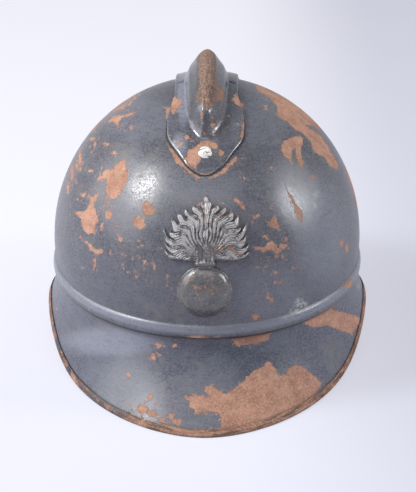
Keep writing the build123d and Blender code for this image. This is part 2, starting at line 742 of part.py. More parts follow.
def strap_path():
    """The strap's middle line in its own plane, from one hanger's bar to the other's."""
    start = BAR_REACH + LOOP_RADIUS - STRAP_THICKNESS / 2
    right = [
        (HANGER_MIDDLE, start),
        (STRAP_BEND_PLACE, STRAP_BEND_REACH),
        (STRAP_BACK_PLACE, STRAP_REACH),
    ]
    left = [(-x, y) for x, y in reversed(right)]
    return FilletPolyline(right + left, radius=STRAP_BEND_RADIUS)


def strap_end(side):
    """Sewn loop round a hanger's bar."""
    inner = LOOP_RADIUS - STRAP_THICKNESS
    return Pos(side * HANGER_MIDDLE, BAR_REACH) * (Circle(LOOP_RADIUS) - Circle(inner))


def chin_strap():
    """Leather strap that lies inside the brim, its two ends looped on the hangers."""
    path = strap_path()
    belt = trace(path, STRAP_THICKNESS)
    plan = belt + strap_end(1) + strap_end(-1)
    for side in (-1, 1):
        plan -= Pos(side * HANGER_MIDDLE, BAR_REACH) * Circle(LOOP_RADIUS - STRAP_THICKNESS)
    return swung(extrude(plan, STRAP_WIDTH / 2, both=True))


def buckle():
    """Sliding loop of sheet on the strap's left leg, open in front round its middle bar."""
    start = Vector(-HANGER_MIDDLE, BAR_REACH + LOOP_RADIUS - STRAP_THICKNESS / 2)
    end = Vector(-STRAP_BEND_PLACE, STRAP_BEND_REACH)
    lean = (end - start).normalized()
    middle = start + lean * BUCKLE_PLACE
    plane = Plane(origin=middle, x_dir=lean, z_dir=(lean.Y, -lean.X, 0))
    depth = STRAP_THICKNESS + 2 * SOFT_GAP
    width = STRAP_WIDTH + 2 * SOFT_GAP
    block = Box(BUCKLE_LENGTH, width + 2 * BUCKLE_SHEET, depth + 2 * BUCKLE_SHEET)
    block -= Box(2 * BUCKLE_LENGTH, width, depth)
    window = (BUCKLE_LENGTH - 3 * BUCKLE_BAR) / 2
    for side in (-1, 1):
        place = Pos(side * (window + BUCKLE_BAR) / 2, 0, 0)
        block -= place * Box(window, width, 2 * depth + 4 * BUCKLE_SHEET)
    return swung(plane * block)


def model():
    """Every node of the helmet, by name, round the middle of the skull."""
    planes = comb_rivet_planes()
    nodes = {
        "skull_shell": skull_shell(),
        "visor": visor(),
        "neck_guard": neck_guard(),
        "visor_binding": binding(visor_angles()),
        "neck_guard_binding": neck_guard_binding(),
        "comb": comb(),
        "comb_end_rivets": comb_rivets(planes[:2], RIVET_HEAD, RIVET_HEAD_HEIGHT),
        "comb_side_rivets": comb_rivets(planes[2:], SIDE_RIVET_HEAD, SIDE_RIVET_HEAD_HEIGHT),
        "badge": badge(),
        "liner_clips": liner_clips(),
        "cloth_band": cloth_band(),
        "leather_liner": leather_liner(),
        "chin_strap": chin_strap(),
        "strap_buckle": buckle(),
    }
    for name, angle in (("front", -90), ("right", 0), ("rear", 90), ("left", 180)):
        nodes[name + "_spacer"] = spacer(angle)
    for name, side in (("left", -1), ("right", 1)):
        nodes[name + "_strap_lug"] = strap_lug(side)
        nodes[name + "_pivot_pin"] = pivot_pin(side)
        nodes[name + "_strap_hanger"] = strap_hanger(side)
    return nodes


os.makedirs("parts", exist_ok=True)
for name, shape in model().items():
    export_step(SKULL_PLACE * shape, "parts/" + name + ".step")
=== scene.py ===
import math

import bmesh
import bpy
import numpy as np
from mathutils import Matrix, Vector, noise


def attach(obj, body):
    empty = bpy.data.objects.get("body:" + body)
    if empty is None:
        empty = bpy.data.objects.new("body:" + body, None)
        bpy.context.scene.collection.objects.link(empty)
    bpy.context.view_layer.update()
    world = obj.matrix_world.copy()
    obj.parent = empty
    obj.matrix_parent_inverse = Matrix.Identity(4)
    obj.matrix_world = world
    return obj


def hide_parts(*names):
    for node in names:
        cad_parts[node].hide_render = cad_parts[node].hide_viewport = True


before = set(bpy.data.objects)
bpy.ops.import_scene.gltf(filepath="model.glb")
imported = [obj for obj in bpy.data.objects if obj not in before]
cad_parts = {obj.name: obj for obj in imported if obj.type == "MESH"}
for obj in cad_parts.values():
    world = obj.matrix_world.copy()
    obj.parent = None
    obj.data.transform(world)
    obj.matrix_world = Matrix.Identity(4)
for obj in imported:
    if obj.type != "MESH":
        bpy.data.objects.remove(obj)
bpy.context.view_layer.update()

# The looks of a worn steel helmet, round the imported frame. Lengths are in metres.
# Shapes are worked out round the middle of the skull, front towards -Y, and then placed.
MM = 0.001

# Skull
SKULL_WIDTH = 188 * MM
SKULL_LENGTH = 216 * MM
SKULL_RISE = 94.5 * MM
SKULL_HEIGHT = 62.6 * MM
SKULL_SHIFT = -1 * MM
SHEET = 0.7 * MM
SEAT_GAP = 0.05 * MM
STRETCH = SKULL_LENGTH / SKULL_WIDTH
SKULL_COLUMNS = 420
SKULL_ROWS = 105
DENT_DEPTH = 0.22 * MM
DENT_START = 8 * MM

# Rolled bead
BEAD_DROP = 14.8 * MM
BEAD_HEIGHT = 8.4 * MM
BEAD_BULGE = 1.8 * MM
BEAD_STEP = 0.35 * MM
BEAD_TOP = BEAD_HEIGHT / 2 - BEAD_DROP
BEAD_FOOT = -BEAD_HEIGHT / 2 - BEAD_DROP
COLLAR_TOP = -10.5 * MM
VENT_LENGTH = 60 * MM
VENT_WIDTH = 12 * MM
WORN_LINE_RISE = 2.6 * MM
WORN_LINE_WIDTH = 0.55 * MM

# Brim
FRONT_REACH = 143 * MM
REAR_REACH = 145 * MM
BRIM_WIDTH = 198.8 * MM
SIDE_EDGE = -40 * MM
EDGE_ROUND = 1.85
ARCH = 8
FLARE = ((0, 0), (0, 0.28), (0.60, 0.72), (1, 1))
LAP_LENGTH = 7 * MM
LAP_GAP = 0.2 * MM
JOGGLE_LENGTH = 4 * MM
JOGGLE_ENDS = (0.72, 0.84)
SIDE_GAP = 0.2 * MM
BINDING_SHEET = 0.6 * MM
BINDING_GAP = 0.1 * MM
BINDING_WIDTH = 3.3 * MM
BINDING_FLAT = 0.12 * MM
BINDING_STEP = 0.001
BINDING_RADIUS = SHEET / 2 + BINDING_GAP + BINDING_SHEET

# Comb
COMB_SHEET = 0.7 * MM
COMB_BED = (170 * MM, 205.6 * MM, 99 * MM)
COMB_REACH = 76 * MM
COMB_PLAN = ((0, 18.7), (19, 18.7), (37, 22.2), (52.5, 22.2), (76, 6.5))
COMB_REAR_PLAN = ((0, 18.7), (19, 18.7), (46, 19), (57, 20.4), (76, 6.5))
COMB_SOFTNESS = 5 * MM
COMB_EDGE_RADIUS = 0.9 * MM
BED_BLEND = 0.6 * MM
BED_SINK = 0.15 * MM
CREST_RISE = 112 * MM
CREST_LENGTH = 236 * MM
CREST_FOOT = 12.5 * MM
CREST_NOSE = 55.6 * MM
CREST_STATIONS = (0, 0.25, 0.48, 0.66, 0.79, 0.88, 0.94, 0.975, 1)
CREST_WIDTHS = (1, 0.985, 0.94, 0.86, 0.7, 0.5, 0.34, 0.22, 0.1)
CREST_HEIGHTS = (1, 1, 1, 1, 0.98, 0.92, 0.78, 0.52, 0.15)
CREST_FILLET = 14
NOSE_FILLET = 26
NOSE_START = 38 * MM
NOSE_BLEND = 10 * MM
CREST_WEAR = 0.3 * MM
SEAM_WIDTH = 1.0 * MM
SEAM_DEPTH = 0.45 * MM
CREST_SHOULDER = ((0, 1), (0.21, 0.94), (0.4, 0.8), (0.66, 0.5), (0.87, 0.3), (1, 0))
RIVET_HEAD = 7.7 * MM
RIVET_HEAD_HEIGHT = 1.7 * MM
SIDE_RIVET_HEAD = 4.6 * MM
SIDE_RIVET_HEAD_HEIGHT = 0.7 * MM
RIVET_SHANK = 3 * MM
RIVET_TAIL = 5 * MM
RIVET_TAIL_HEIGHT = 1 * MM
RIVET_PLAY = 0.35 * MM
RIVET_REACH = 64.6 * MM
SIDE_RIVET_PLACE = 15.8 * MM

# Badge
BALL_WIDTH = 30.6 * MM
BALL_HEIGHT = 5.6 * MM
BALL_PLACE = (0.1 * MM, 10.0 * MM)
BALL_RIM = 0.9 * MM
BALL_RIM_HEIGHT = 0.8 * MM
BADGE_BURY = 0.4 * MM
BADGE_SHEET = 0.15 * MM
BADGE_STEP = 0.24 * MM
BADGE_SPANS = ((-27 * MM, 27 * MM), (-5 * MM, 62 * MM))
BADGE_FLECKS_PX = -2.7
BADGE_RIM_PX = -0.6

# Liner stack and strap
CLIP_SHEET = 0.5 * MM
CLIP_DROP = 10 * MM
SOFT_GAP = 0.3 * MM
WAVE_DEPTH = 4.4 * MM
WAVE_SHEET = 0.5 * MM
WAVE_COUNT = 11
WAVE_ARC = math.radians(54)
SPACER_FOOT = -8.5 * MM
SPACER_TOP = 7.5 * MM
CLOTH = 1.3 * MM
CLOTH_TOP = 8.5 * MM
LEATHER = 1.5 * MM
LINER_RISE = 78 * MM
LINER_MOUTH = 40 * MM
TONGUES = 7
GAP_FOOT_PLACE = 68 * MM
GAP_FOOT_WIDTH = 2.4 * MM
GAP_MOUTH_WIDTH = 11 * MM
LACE_HOLE = 3.5 * MM
LACE_HOLE_PLACE = 27 * MM
TONGUE_JOIN = 0.04 * MM
LINER_STITCHES = 150
STITCH_THREAD = 0.55 * MM
STRAP_WIDTH = 18 * MM
STRAP_THICKNESS = 1.8 * MM
STRAP_REACH = 90 * MM
STRAP_BEND_PLACE = 66 * MM
STRAP_BEND_REACH = 62 * MM
STRAP_BACK_PLACE = 38 * MM
STRAP_BEND_RADIUS = 26 * MM
STRAP_REST_GAP = 0.3 * MM
LOOP_TAIL = 1.4 * MM
PIVOT_DROP = 21.6 * MM
PIVOT_PLACE = 86.8 * MM
HANGER_SHEET = 1.2 * MM
HANGER_GAP = 0.1 * MM
HANGER_SLOT_START = 5.5 * MM
HANGER_SLOT_LENGTH = 6.5 * MM
HANGER_BAR = 2.4 * MM

# Lumps of the surfaces: the size, the seed and the height of each layer
DENT_LUMPS = (34 * MM, 3, 1)
WORN_LINE_LUMPS = (60 * MM, 81, 1.4 * MM)
BRIM_WAVE = (45 * MM, 7, 0.12 * MM)
BINDING_LUMPS = (9 * MM, 11, 0.05)
EDGE_RUST_LUMPS = (8 * MM, 16, 2.6)
EDGE_DULL_LUMPS = (10 * MM, 15, 0.5)
CREST_LUMPS = ((3.1 * MM, 5, 0.28 * MM), (1.3 * MM, 9, 0.16 * MM))
FLAME_ANGLE_LUMPS = ((7 * MM, 31, 3.0), (3.5 * MM, 32, 1.3))
FLAME_FINE_LUMPS = (5 * MM, 35, 0.8)
BALL_LUMPS = ((5 * MM, 33, 0.035), (2 * MM, 34, 0.02))
BALL_STAIN_LUMPS = ((6 * MM, 36, 0.22), (2.5 * MM, 37, 0.16))
BADGE_LUMPS = ((2.2 * MM, 41, 0.1 * MM), (7 * MM, 43, 0.15 * MM))
LEATHER_LUMPS = (30 * MM, 50, 0.4 * MM)
CLOTH_EDGE_LUMPS = (5 * MM, 61, 0.3 * MM)
CLOTH_LUMPS = (9 * MM, 62, 0.1 * MM)
SPACER_LUMPS = (12 * MM, 70, 0.12 * MM)
RIM_LUMPS = (11 * MM, 71, 9)

# Colours
SHELL_DARK = (0.050, 0.054, 0.072)
SHELL_PALE = (0.105, 0.108, 0.131)
BRIM_DARK = (0.050, 0.055, 0.079)
BRIM_PALE = (0.104, 0.110, 0.144)
EDGE_DARK = (0.026, 0.030, 0.042)
EDGE_PALE = (0.05, 0.055, 0.07)
BADGE_DARK = (0.066, 0.066, 0.073)
BADGE_PALE = (0.155, 0.152, 0.158)
FILM_COLOUR = (0.235, 0.195, 0.145)
SCRATCH_COLOUR = (0.30, 0.30, 0.32)
SCUFF_DARK = (0.055, 0.06, 0.055)
SCUFF_PALE = (0.52, 0.53, 0.50)
# Pale colour painted on as highlights and reflections of the lamps
PAINTED_HIGHLIGHT_COLOUR = (0.235, 0.245, 0.30)
# Near-black colour painted on as shade in creases, hollows and where parts meet
PAINTED_SHADE_COLOUR = (0.022, 0.018, 0.017)
RUST_DEEP = (0.345, 0.162, 0.102)
RUST_BRIGHT = (0.52, 0.275, 0.185)
RUST_YELLOW = (0.50, 0.37, 0.26)
RUST_RED = (0.27, 0.115, 0.07)
RUST_SPECK = (0.15, 0.075, 0.055)
RUST_RIM = (0.26, 0.13, 0.085)
BROWN_DEEP = (0.085, 0.05, 0.04)
BROWN_BRIGHT = (0.33, 0.19, 0.135)
BROWN_SPECK = (0.60, 0.50, 0.38)
STREAK_DARK = (0.085, 0.06, 0.055)
STREAK_PALE = (0.46, 0.36, 0.25)
WOOL_DIRT = (0.10, 0.075, 0.05)
WEAVE_SCALE = 0.314 / MM

# Bare metals: dark and pale colour, roughness, stain, level of the stain, and share of metal
RIVET_METAL = ((0.78, 0.76, 0.72), (0.95, 0.93, 0.88), 0.45, (0.10, 0.08, 0.07), 0.555, 0.2)
SPACER_METAL = ((0.45, 0.45, 0.45), (0.66, 0.66, 0.65), 0.36, (0.20, 0.18, 0.16), 0.62)
FITTING_STEEL = ((0.13, 0.12, 0.12), (0.27, 0.26, 0.25), 0.42, (0.24, 0.115, 0.07), 0.52, 0.85)

# Camera, as it was fitted to the photograph's frame
IMAGE_WIDTH = 416
IMAGE_HEIGHT = 492
FOCAL_PX = 1614
CAMERA_DISTANCE = 1.0
CAMERA_AZIMUTH = math.radians(0.8)
CAMERA_ELEVATION = math.radians(24.35)
CAMERA_ROLL = math.radians(0.2)
AIM_DROP = 9.23 * MM
AIM_SIDE = 0.55 * MM
SENSOR_HEIGHT = 36

# Glow of the surroundings: in reflections, at the foot and the top of the walls, and in view
AIR_GLOW = 0.22
WALL_GLOW = 0.68
ROOF_GLOW = 0.3
BACKDROP_GLOW = 0.9
AIR_COLOUR = (0.93, 0.94, 1.0)

# Lamps: name, direction, distance, size, power and colour
LAMPS = (
    ("key_lamp", (-0.66, -0.16, 0.74), 1.2, (0.28, 0.34), 9.4, (1.0, 0.99, 0.98)),
    ("key_fill", (-0.84, -0.04, 0.48), 1.4, (1.5, 0.9), 12.0, (0.97, 0.98, 1.0)),
    ("side_lamp", (0.88, -0.06, 0.47), 1.3, (0.34, 0.4), 5.4, (0.98, 0.99, 1.0)),
    ("side_fill", (0.85, 0.1, 0.5), 1.4, (0.8, 0.8), 3.6, (0.98, 0.99, 1.0)),
    ("front_lamp", (0, -0.5, 0.95), 1.6, (1.3, 0.7), 3.0, (0.97, 0.98, 1.0)),
    ("front_strip", (0, -0.52, 0.84), 1.6, (1.3, 0.2), 1.6, (0.97, 0.98, 1.0)),
)

# Floor: its lit colour, and the colours it shows in front, at the back and on the right, where it is darker
# as painted shade
FLOOR_SIZE = 12
FLOOR_COLOUR = (0.77, 0.78, 0.92)
FLOOR_NEAR = (0.845, 0.85, 0.95)
FLOOR_FAR = (0.945, 0.947, 1.0)
FLOOR_RIGHT_SHADE = (0.62, 0.625, 0.70)
FLOOR_GLOW = 0.7
FLOOR_REAR_SPAN = (-0.25, 0.2)
FLOOR_RIGHT_SHADE_SPAN = (0.0, 0.17)

MIDDLE = np.array((0, SKULL_SHIFT, SKULL_HEIGHT))


# Camera, lights, shader nodes and floor

def camera_axes():
    """Right, up and back directions of the camera."""
    turn, lift = CAMERA_AZIMUTH, CAMERA_ELEVATION
    back = Vector((math.sin(turn) * math.cos(lift), -math.cos(turn) * math.cos(lift), math.sin(lift)))
    level = Vector((math.cos(turn), math.sin(turn), 0))
    upright = back.cross(level)
    up = upright * math.cos(CAMERA_ROLL) + level * math.sin(CAMERA_ROLL)
    right = level * math.cos(CAMERA_ROLL) - upright * math.sin(CAMERA_ROLL)
    return right, up, back


def make_camera():
    """The camera at the photograph's angle."""
    right, up, back = camera_axes()
    place = Vector(MIDDLE) + back * CAMERA_DISTANCE - up * AIM_DROP + right * AIM_SIDE
    data = bpy.data.cameras.new("camera")
    data.sensor_fit = "VERTICAL"
    data.sensor_height = SENSOR_HEIGHT
    data.lens = FOCAL_PX * SENSOR_HEIGHT / IMAGE_HEIGHT
    camera = bpy.data.objects.new("camera", data)
    camera.matrix_world = Matrix.Translation(place) @ Matrix((right, up, back)).transposed().to_4x4()
    bpy.context.scene.collection.objects.link(camera)
    bpy.context.scene.camera = camera


def to_photo(points):
    """Pixel coordinates in the photograph's frame of points in the frame."""
    right, up, back = (np.array(axis) for axis in camera_axes())
    eye = MIDDLE + back * CAMERA_DISTANCE - up * AIM_DROP + right * AIM_SIDE
    local = points - eye
    depth = -(local @ back)
    across = IMAGE_WIDTH / 2 + FOCAL_PX * (local @ right) / depth
    down = IMAGE_HEIGHT / 2 - FOCAL_PX * (local @ up) / depth
    return np.stack([across, down], axis=-1)


def area_light(name, direction, distance, size, power, colour):
    """A soft square lamp that looks at the helmet's middle."""
    data = bpy.data.lights.new(name, "AREA")
    data.shape = "RECTANGLE"
    data.size, data.size_y = size
    data.energy = power
    data.color = colour
    lamp = bpy.data.objects.new(name, data)
    away = Vector(direction).normalized()
    lamp.location = Vector(MIDDLE) + away * distance
    lamp.rotation_euler = away.to_track_quat("Z", "Y").to_euler()
    bpy.context.scene.collection.objects.link(lamp)


def make_lights():
    """A small and a large soft lamp on each side, weak ones from the front, and the world."""
    for lamp in LAMPS:
        area_light(*lamp)
    world = bpy.data.worlds.new("world")
    bpy.context.scene.world = world
    world.use_nodes = True
    nodes = Nodes(world.node_tree)
    sky = nodes.tree.nodes["Background"]
    split = nodes.node("ShaderNodeSeparateXYZ")
    nodes.feed(split.inputs[0], nodes.node("ShaderNodeTexCoord").outputs["Generated"])
    wall = nodes.span(split.outputs["Z"], 0.0, 0.5, WALL_GLOW, ROOF_GLOW, "LINEAR")
    rays = nodes.node("ShaderNodeLightPath").outputs
    level = nodes.blend(rays["Is Glossy Ray"], AIR_GLOW, wall)
    level = nodes.blend(rays["Is Camera Ray"], level, BACKDROP_GLOW)
    nodes.fill(sky, Color=AIR_COLOUR, Strength=level)


class Nodes:
    """Builds one tree of nodes."""

    def __init__(self, tree):
        self.tree = tree
        self.place = None

    def node(self, kind, **settings):
        """A node, with its settings."""
        made = self.tree.nodes.new(kind)
        for name, value in settings.items():
            setattr(made, name, value)
        return made

    def feed(self, socket, value):
        """Links an output to a socket, or sets the socket's own value."""
        if isinstance(value, bpy.types.NodeSocket):
            self.tree.links.new(value, socket)
        elif isinstance(value, tuple):
            socket.default_value = value if len(value) == len(socket.default_value) else (*value, 1)
        elif value is not None:
            socket.default_value = value

    def fill(self, made, **sockets):
        """Feeds a node's sockets, whose names have a space for each underscore."""
        for name, value in sockets.items():
            self.feed(made.inputs[name.replace("_", " ")], value)
        return made.outputs

    def coords(self, stretch=(1, 1, 1)):
        """The object's own coordinates, in metres, stretched."""
        if self.place is None:
            self.place = self.node("ShaderNodeTexCoord").outputs["Object"]
        if stretch == (1, 1, 1):
            return self.place
        return self.fill(self.node("ShaderNodeMapping"), Scale=stretch, Vector=self.place)[0]

    def clouds(self, size, detail=3.0, rough=0.5, warp=0.0, stretch=(1, 1, 1), place=None):
        """Noise from 0 to 1 with lumps of a size."""
        made = self.node("ShaderNodeTexNoise")
        if place is None:
            place = self.coords(stretch)
        self.fill(made, Detail=detail, Roughness=rough, Distortion=warp)
        return self.fill(made, Vector=place, Scale=1 / size)["Fac"]

    def cells(self, size, stretch=(1, 1, 1)):
        """Distance to the edges of a cell pattern."""
        made = self.node("ShaderNodeTexVoronoi", feature="DISTANCE_TO_EDGE")
        return self.fill(made, Vector=self.coords(stretch), Scale=1 / size)["Distance"]

    def math(self, operation, *values):
        """One sum."""
        made = self.node("ShaderNodeMath", operation=operation)
        for socket, value in zip(made.inputs, values):
            self.feed(socket, value)
        return made.outputs[0]

    def add(self, first, second):
        """A sum."""
        return self.math("ADD", first, second)

    def less(self, first, second):
        """A difference."""
        return self.math("SUBTRACT", first, second)

    def times(self, first, second, more=None):
        """A product, with a third value added to it if there is one."""
        if more is None:
            return self.math("MULTIPLY", first, second)
        return self.math("MULTIPLY_ADD", first, second, more)

    def most(self, first, *others):
        """The largest value."""
        for other in others:
            first = self.math("MAXIMUM", first, other)
        return first

    def span(self, value, low, high, first=0.0, last=1.0, way="SMOOTHSTEP"):
        """Brings a value from one span to another, and stops at its ends."""
        made = self.node("ShaderNodeMapRange", interpolation_type=way)
        return self.fill(made, Value=value, From_Min=low, From_Max=high, To_Min=first, To_Max=last)["Result"]

    def between(self, kind, start, output, values):
        """A mix node of a kind, whose two values start at a socket."""
        made = self.node("ShaderNodeMix", data_type=kind)
        for number, value in zip((0, start, start + 1), values):
            self.feed(made.inputs[number], value)
        return made.outputs[output]

    def blend(self, share, first, second):
        """Between two numbers."""
        return self.between("FLOAT", 2, 0, (share, first, second))

    def mix(self, share, first, second):
        """Between two colours."""
        return self.between("RGBA", 6, 2, (share, first, second))

    def attribute(self, name):
        """A number stored at the mesh's points."""
        return self.node("ShaderNodeAttribute", attribute_name=name).outputs["Fac"]

    def bump(self, height, depth, under=None):
        """Relief of a depth in metres."""
        made = self.node("ShaderNodeBump")
        return self.fill(made, Height=height, Strength=1.0, Distance=depth, Normal=under)["Normal"]


class Finish(Nodes):
    """One procedural material."""

    def __init__(self, name, shader="ShaderNodeBsdfPrincipled"):
        self.material = bpy.data.materials.new(name)
        self.material.use_nodes = True
        super().__init__(self.material.node_tree)
        self.tree.nodes.clear()
        self.shader = self.node(shader)
        self.fill(self.node("ShaderNodeOutputMaterial"), Surface=self.shader.outputs[0])

    def done(self, **sockets):
        """Feeds the shader and gives the material."""
        self.fill(self.shader, **sockets)
        return self.material


def make_floor():
    """A pale floor that keeps a soft shadow and fills the view with its own colour, with painted shade on its
    right.
    """
    bpy.ops.mesh.primitive_plane_add(size=FLOOR_SIZE)
    floor = bpy.context.object
    floor.name = "floor"
    finish = Finish("floor_finish", "ShaderNodeMixShader")
    side = finish.fill(finish.node("ShaderNodeSeparateXYZ"), Vector=finish.coords())
    pale = finish.mix(finish.span(side["Y"], *FLOOR_REAR_SPAN), FLOOR_NEAR, FLOOR_FAR)
    # Painted shade: the floor's shown colour darkens towards the right
    pale = finish.mix(finish.span(side["X"], *FLOOR_RIGHT_SHADE_SPAN), pale, FLOOR_RIGHT_SHADE)
    rays = finish.node("ShaderNodeLightPath").outputs
    seen = finish.most(*(rays[name] for name in ("Is Camera Ray", "Is Glossy Ray", "Is Transmission Ray")))
    diffuse = finish.fill(finish.node("ShaderNodeBsdfDiffuse"), Color=FLOOR_COLOUR)[0]
    glow = finish.fill(finish.node("ShaderNodeEmission"), Color=pale)[0]
    for socket, value in zip(finish.shader.inputs, (finish.times(seen, FLOOR_GLOW), diffuse, glow)):
        finish.feed(socket, value)
    floor.data.materials.append(finish.material)


# Mesh helpers

def smooth_step(value):
    """From 0 to 1 without a corner."""
    value = np.clip(value, 0, 1)
    return value * value * (3 - 2 * value)


def smooth_max(first, second, reach):
    """The larger of two values, rounded where they meet."""
    return (first + second + np.sqrt((first - second) ** 2 + reach**2)) / 2


def lumps(points, *layers):
    """Smooth noise at each point, in layers of a size, a seed and a height."""
    total = 0
    for size, seed, height in layers:
        shift = Vector((seed, 2 * seed, 3 * seed))
        flat = [noise.noise(Vector(p) / size + shift) for p in points.reshape(-1, 3)]
        total = total + height * np.array(flat).reshape(points.shape[:-1])
    return total


def unit(vectors):
    """The same directions with a length of one."""
    return vectors / np.linalg.norm(vectors, axis=-1)[..., None]


def stack(*parts):
    """Points from their coordinates, which may be single numbers."""
    return np.stack(np.broadcast_arrays(*parts), axis=-1)


def stretched(radius, turn, z):
    """Points of a round form, lengthened as the skull is."""
    return stack(radius * np.cos(turn), STRETCH * radius * np.sin(turn), z)


def circle(radius, count):
    """Places round a circle."""
    turns = np.linspace(0, 2 * math.pi, count, endpoint=False)
    return [(radius * math.cos(t), radius * math.sin(t)) for t in turns]


def new_object(name, points, faces):
    """A mesh object from points round the middle of the skull."""
    mesh = bpy.data.meshes.new(name)
    mesh.from_pydata((np.asarray(points).reshape(-1, 3) + MIDDLE).tolist(), [], faces)
    made = bpy.data.objects.new(name, mesh)
    bpy.context.scene.collection.objects.link(made)
    return made


def grid_faces(rows, columns, ring=False, keep=None):
    """Quads between the points of a grid."""
    faces = []
    for i in range(rows if ring else rows - 1):
        j = (i + 1) % rows
        for k in range(columns - 1):
            if keep is None or keep[i, k]:
                a, b = i * columns + k, j * columns + k
                faces.append((a, b, b + 1, a + 1))
    return faces


def grid_object(name, grid, ring=False, keep=None):
    """A surface through a grid of points."""
    return new_object(name, grid, grid_faces(grid.shape[0], grid.shape[1], ring, keep))


def prism(name, outline, low, high):
    """An upright solid over an outline."""
    count = len(outline)
    points = [(x, y, z) for z in (low, high) for x, y in outline]
    sides = [(k, (k + 1) % count, count + (k + 1) % count, count + k) for k in range(count)]
    return new_object(name, points, sides + [tuple(range(count))[::-1], tuple(range(count, 2 * count))])


def tidy(made, outward=None, reach=1e-6):
    """Joins points in one place, drops loose ones and faces the surface outwards."""
    shape = bmesh.new()
    shape.from_mesh(made.data)
    bmesh.ops.remove_doubles(shape, verts=shape.verts, dist=reach)
    bmesh.ops.dissolve_degenerate(shape, edges=shape.edges, dist=reach)
    loose = [v for v in shape.verts if not v.link_faces]
    bmesh.ops.delete(shape, geom=loose, context="VERTS")
    bmesh.ops.recalc_face_normals(shape, faces=shape.faces)
    if outward is not None:
        centre = Vector(outward)
        lean = sum((f.calc_center_median() - centre).dot(f.normal) * f.calc_area() for f in shape.faces)
        if lean < 0:
            bmesh.ops.reverse_faces(shape, faces=shape.faces)
    shape.to_mesh(made.data)
    shape.free()
    return made


def settle(made):
    """Makes the modifiers part of the mesh."""
    bpy.context.view_layer.update()
    graph = bpy.context.evaluated_depsgraph_get()
    mesh = bpy.data.meshes.new_from_object(made.evaluated_get(graph))
    made.modifiers.clear()
    made.data = mesh
    return made


def thicken(made, thickness, side=-1.0):
    """Gives a surface its thickness, inwards unless side says otherwise."""
    change = made.modifiers.new("thickness", "SOLIDIFY")
    change.thickness = thickness
    change.offset = side
    return settle(made)


def cut(made, cutter):
    """Takes one solid out of another."""
    change = made.modifiers.new("cut", "BOOLEAN")
    change.operation = "DIFFERENCE"
    change.solver = "EXACT"
    change.object = cutter
    settle(made)
    bpy.data.objects.remove(cutter)
    return made


def shade(made, material, angle=40):
    """Smooth shading, except over sharp corners, and the material."""
    made.data.polygons.foreach_set("use_smooth", [True] * len(made.data.polygons))
    made.data.set_sharp_from_angle(angle=math.radians(angle))
    made.data.materials.clear()
    made.data.materials.append(material)
    return made


def store(made, name, values):
    """Keeps a number at each point of the mesh for its material."""
    known = made.data.attributes
    field = known.get(name) or known.new(name, "FLOAT", "POINT")
    field.data.foreach_set("value", np.asarray(values, np.float32))


def stored(made, name):
    """The numbers kept at the mesh's points."""
    values = np.zeros(len(made.data.vertices))
    made.data.attributes[name].data.foreach_get("value", values)
    return values


def points_of(made):
    """The mesh's points and their normals."""
    count = len(made.data.vertices)
    points = np.zeros(count * 3)
    normals = np.zeros(count * 3)
    made.data.vertices.foreach_get("co", points)
    made.data.vertices.foreach_get("normal", normals)
    return points.reshape(-1, 3), normals.reshape(-1, 3)


def local_points(made):
    """The mesh's points round the middle of the skull."""
    return points_of(made)[0] - MIDDLE


def move(made, points):
    """Puts the mesh's points in new places."""
    made.data.vertices.foreach_set("co", points.ravel())
    made.data.update()


def dress(made, material, body, nodes, angle=40):
    """Finishes a piece: shading, the body it rides on and the nodes it stands for."""
    shade(made, material, angle)
    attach(made, body)
    if nodes:
        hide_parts(*nodes)
    return made


def sweep(name, middles, sides, ups, section):
    """A solid along a line. Section points are shares of the side and up directions."""
    grid = np.array([[m + s * a + u * b for a, b in section] for m, s, u in zip(middles, sides, ups)])
    rows, columns = grid.shape[:2]
    faces = []
    for i in range(0, (rows - 1) * columns, columns):
        for k in range(columns):
            n = (k + 1) % columns
            faces.append((i + k, i + columns + k, i + columns + n, i + n))
    faces.append(tuple(range(columns)))
    faces.append(tuple(range((rows - 1) * columns, rows * columns))[::-1])
    return new_object(name, grid, faces)


def join(name, parts):
    """One object from several."""
    merged = bmesh.new()
    for part in parts:
        merged.from_mesh(part.data)
        bpy.data.objects.remove(part)
    mesh = bpy.data.meshes.new(name)
    merged.to_mesh(mesh)
    merged.free()
    made = bpy.data.objects.new(name, mesh)
    bpy.context.scene.collection.objects.link(made)
    return made
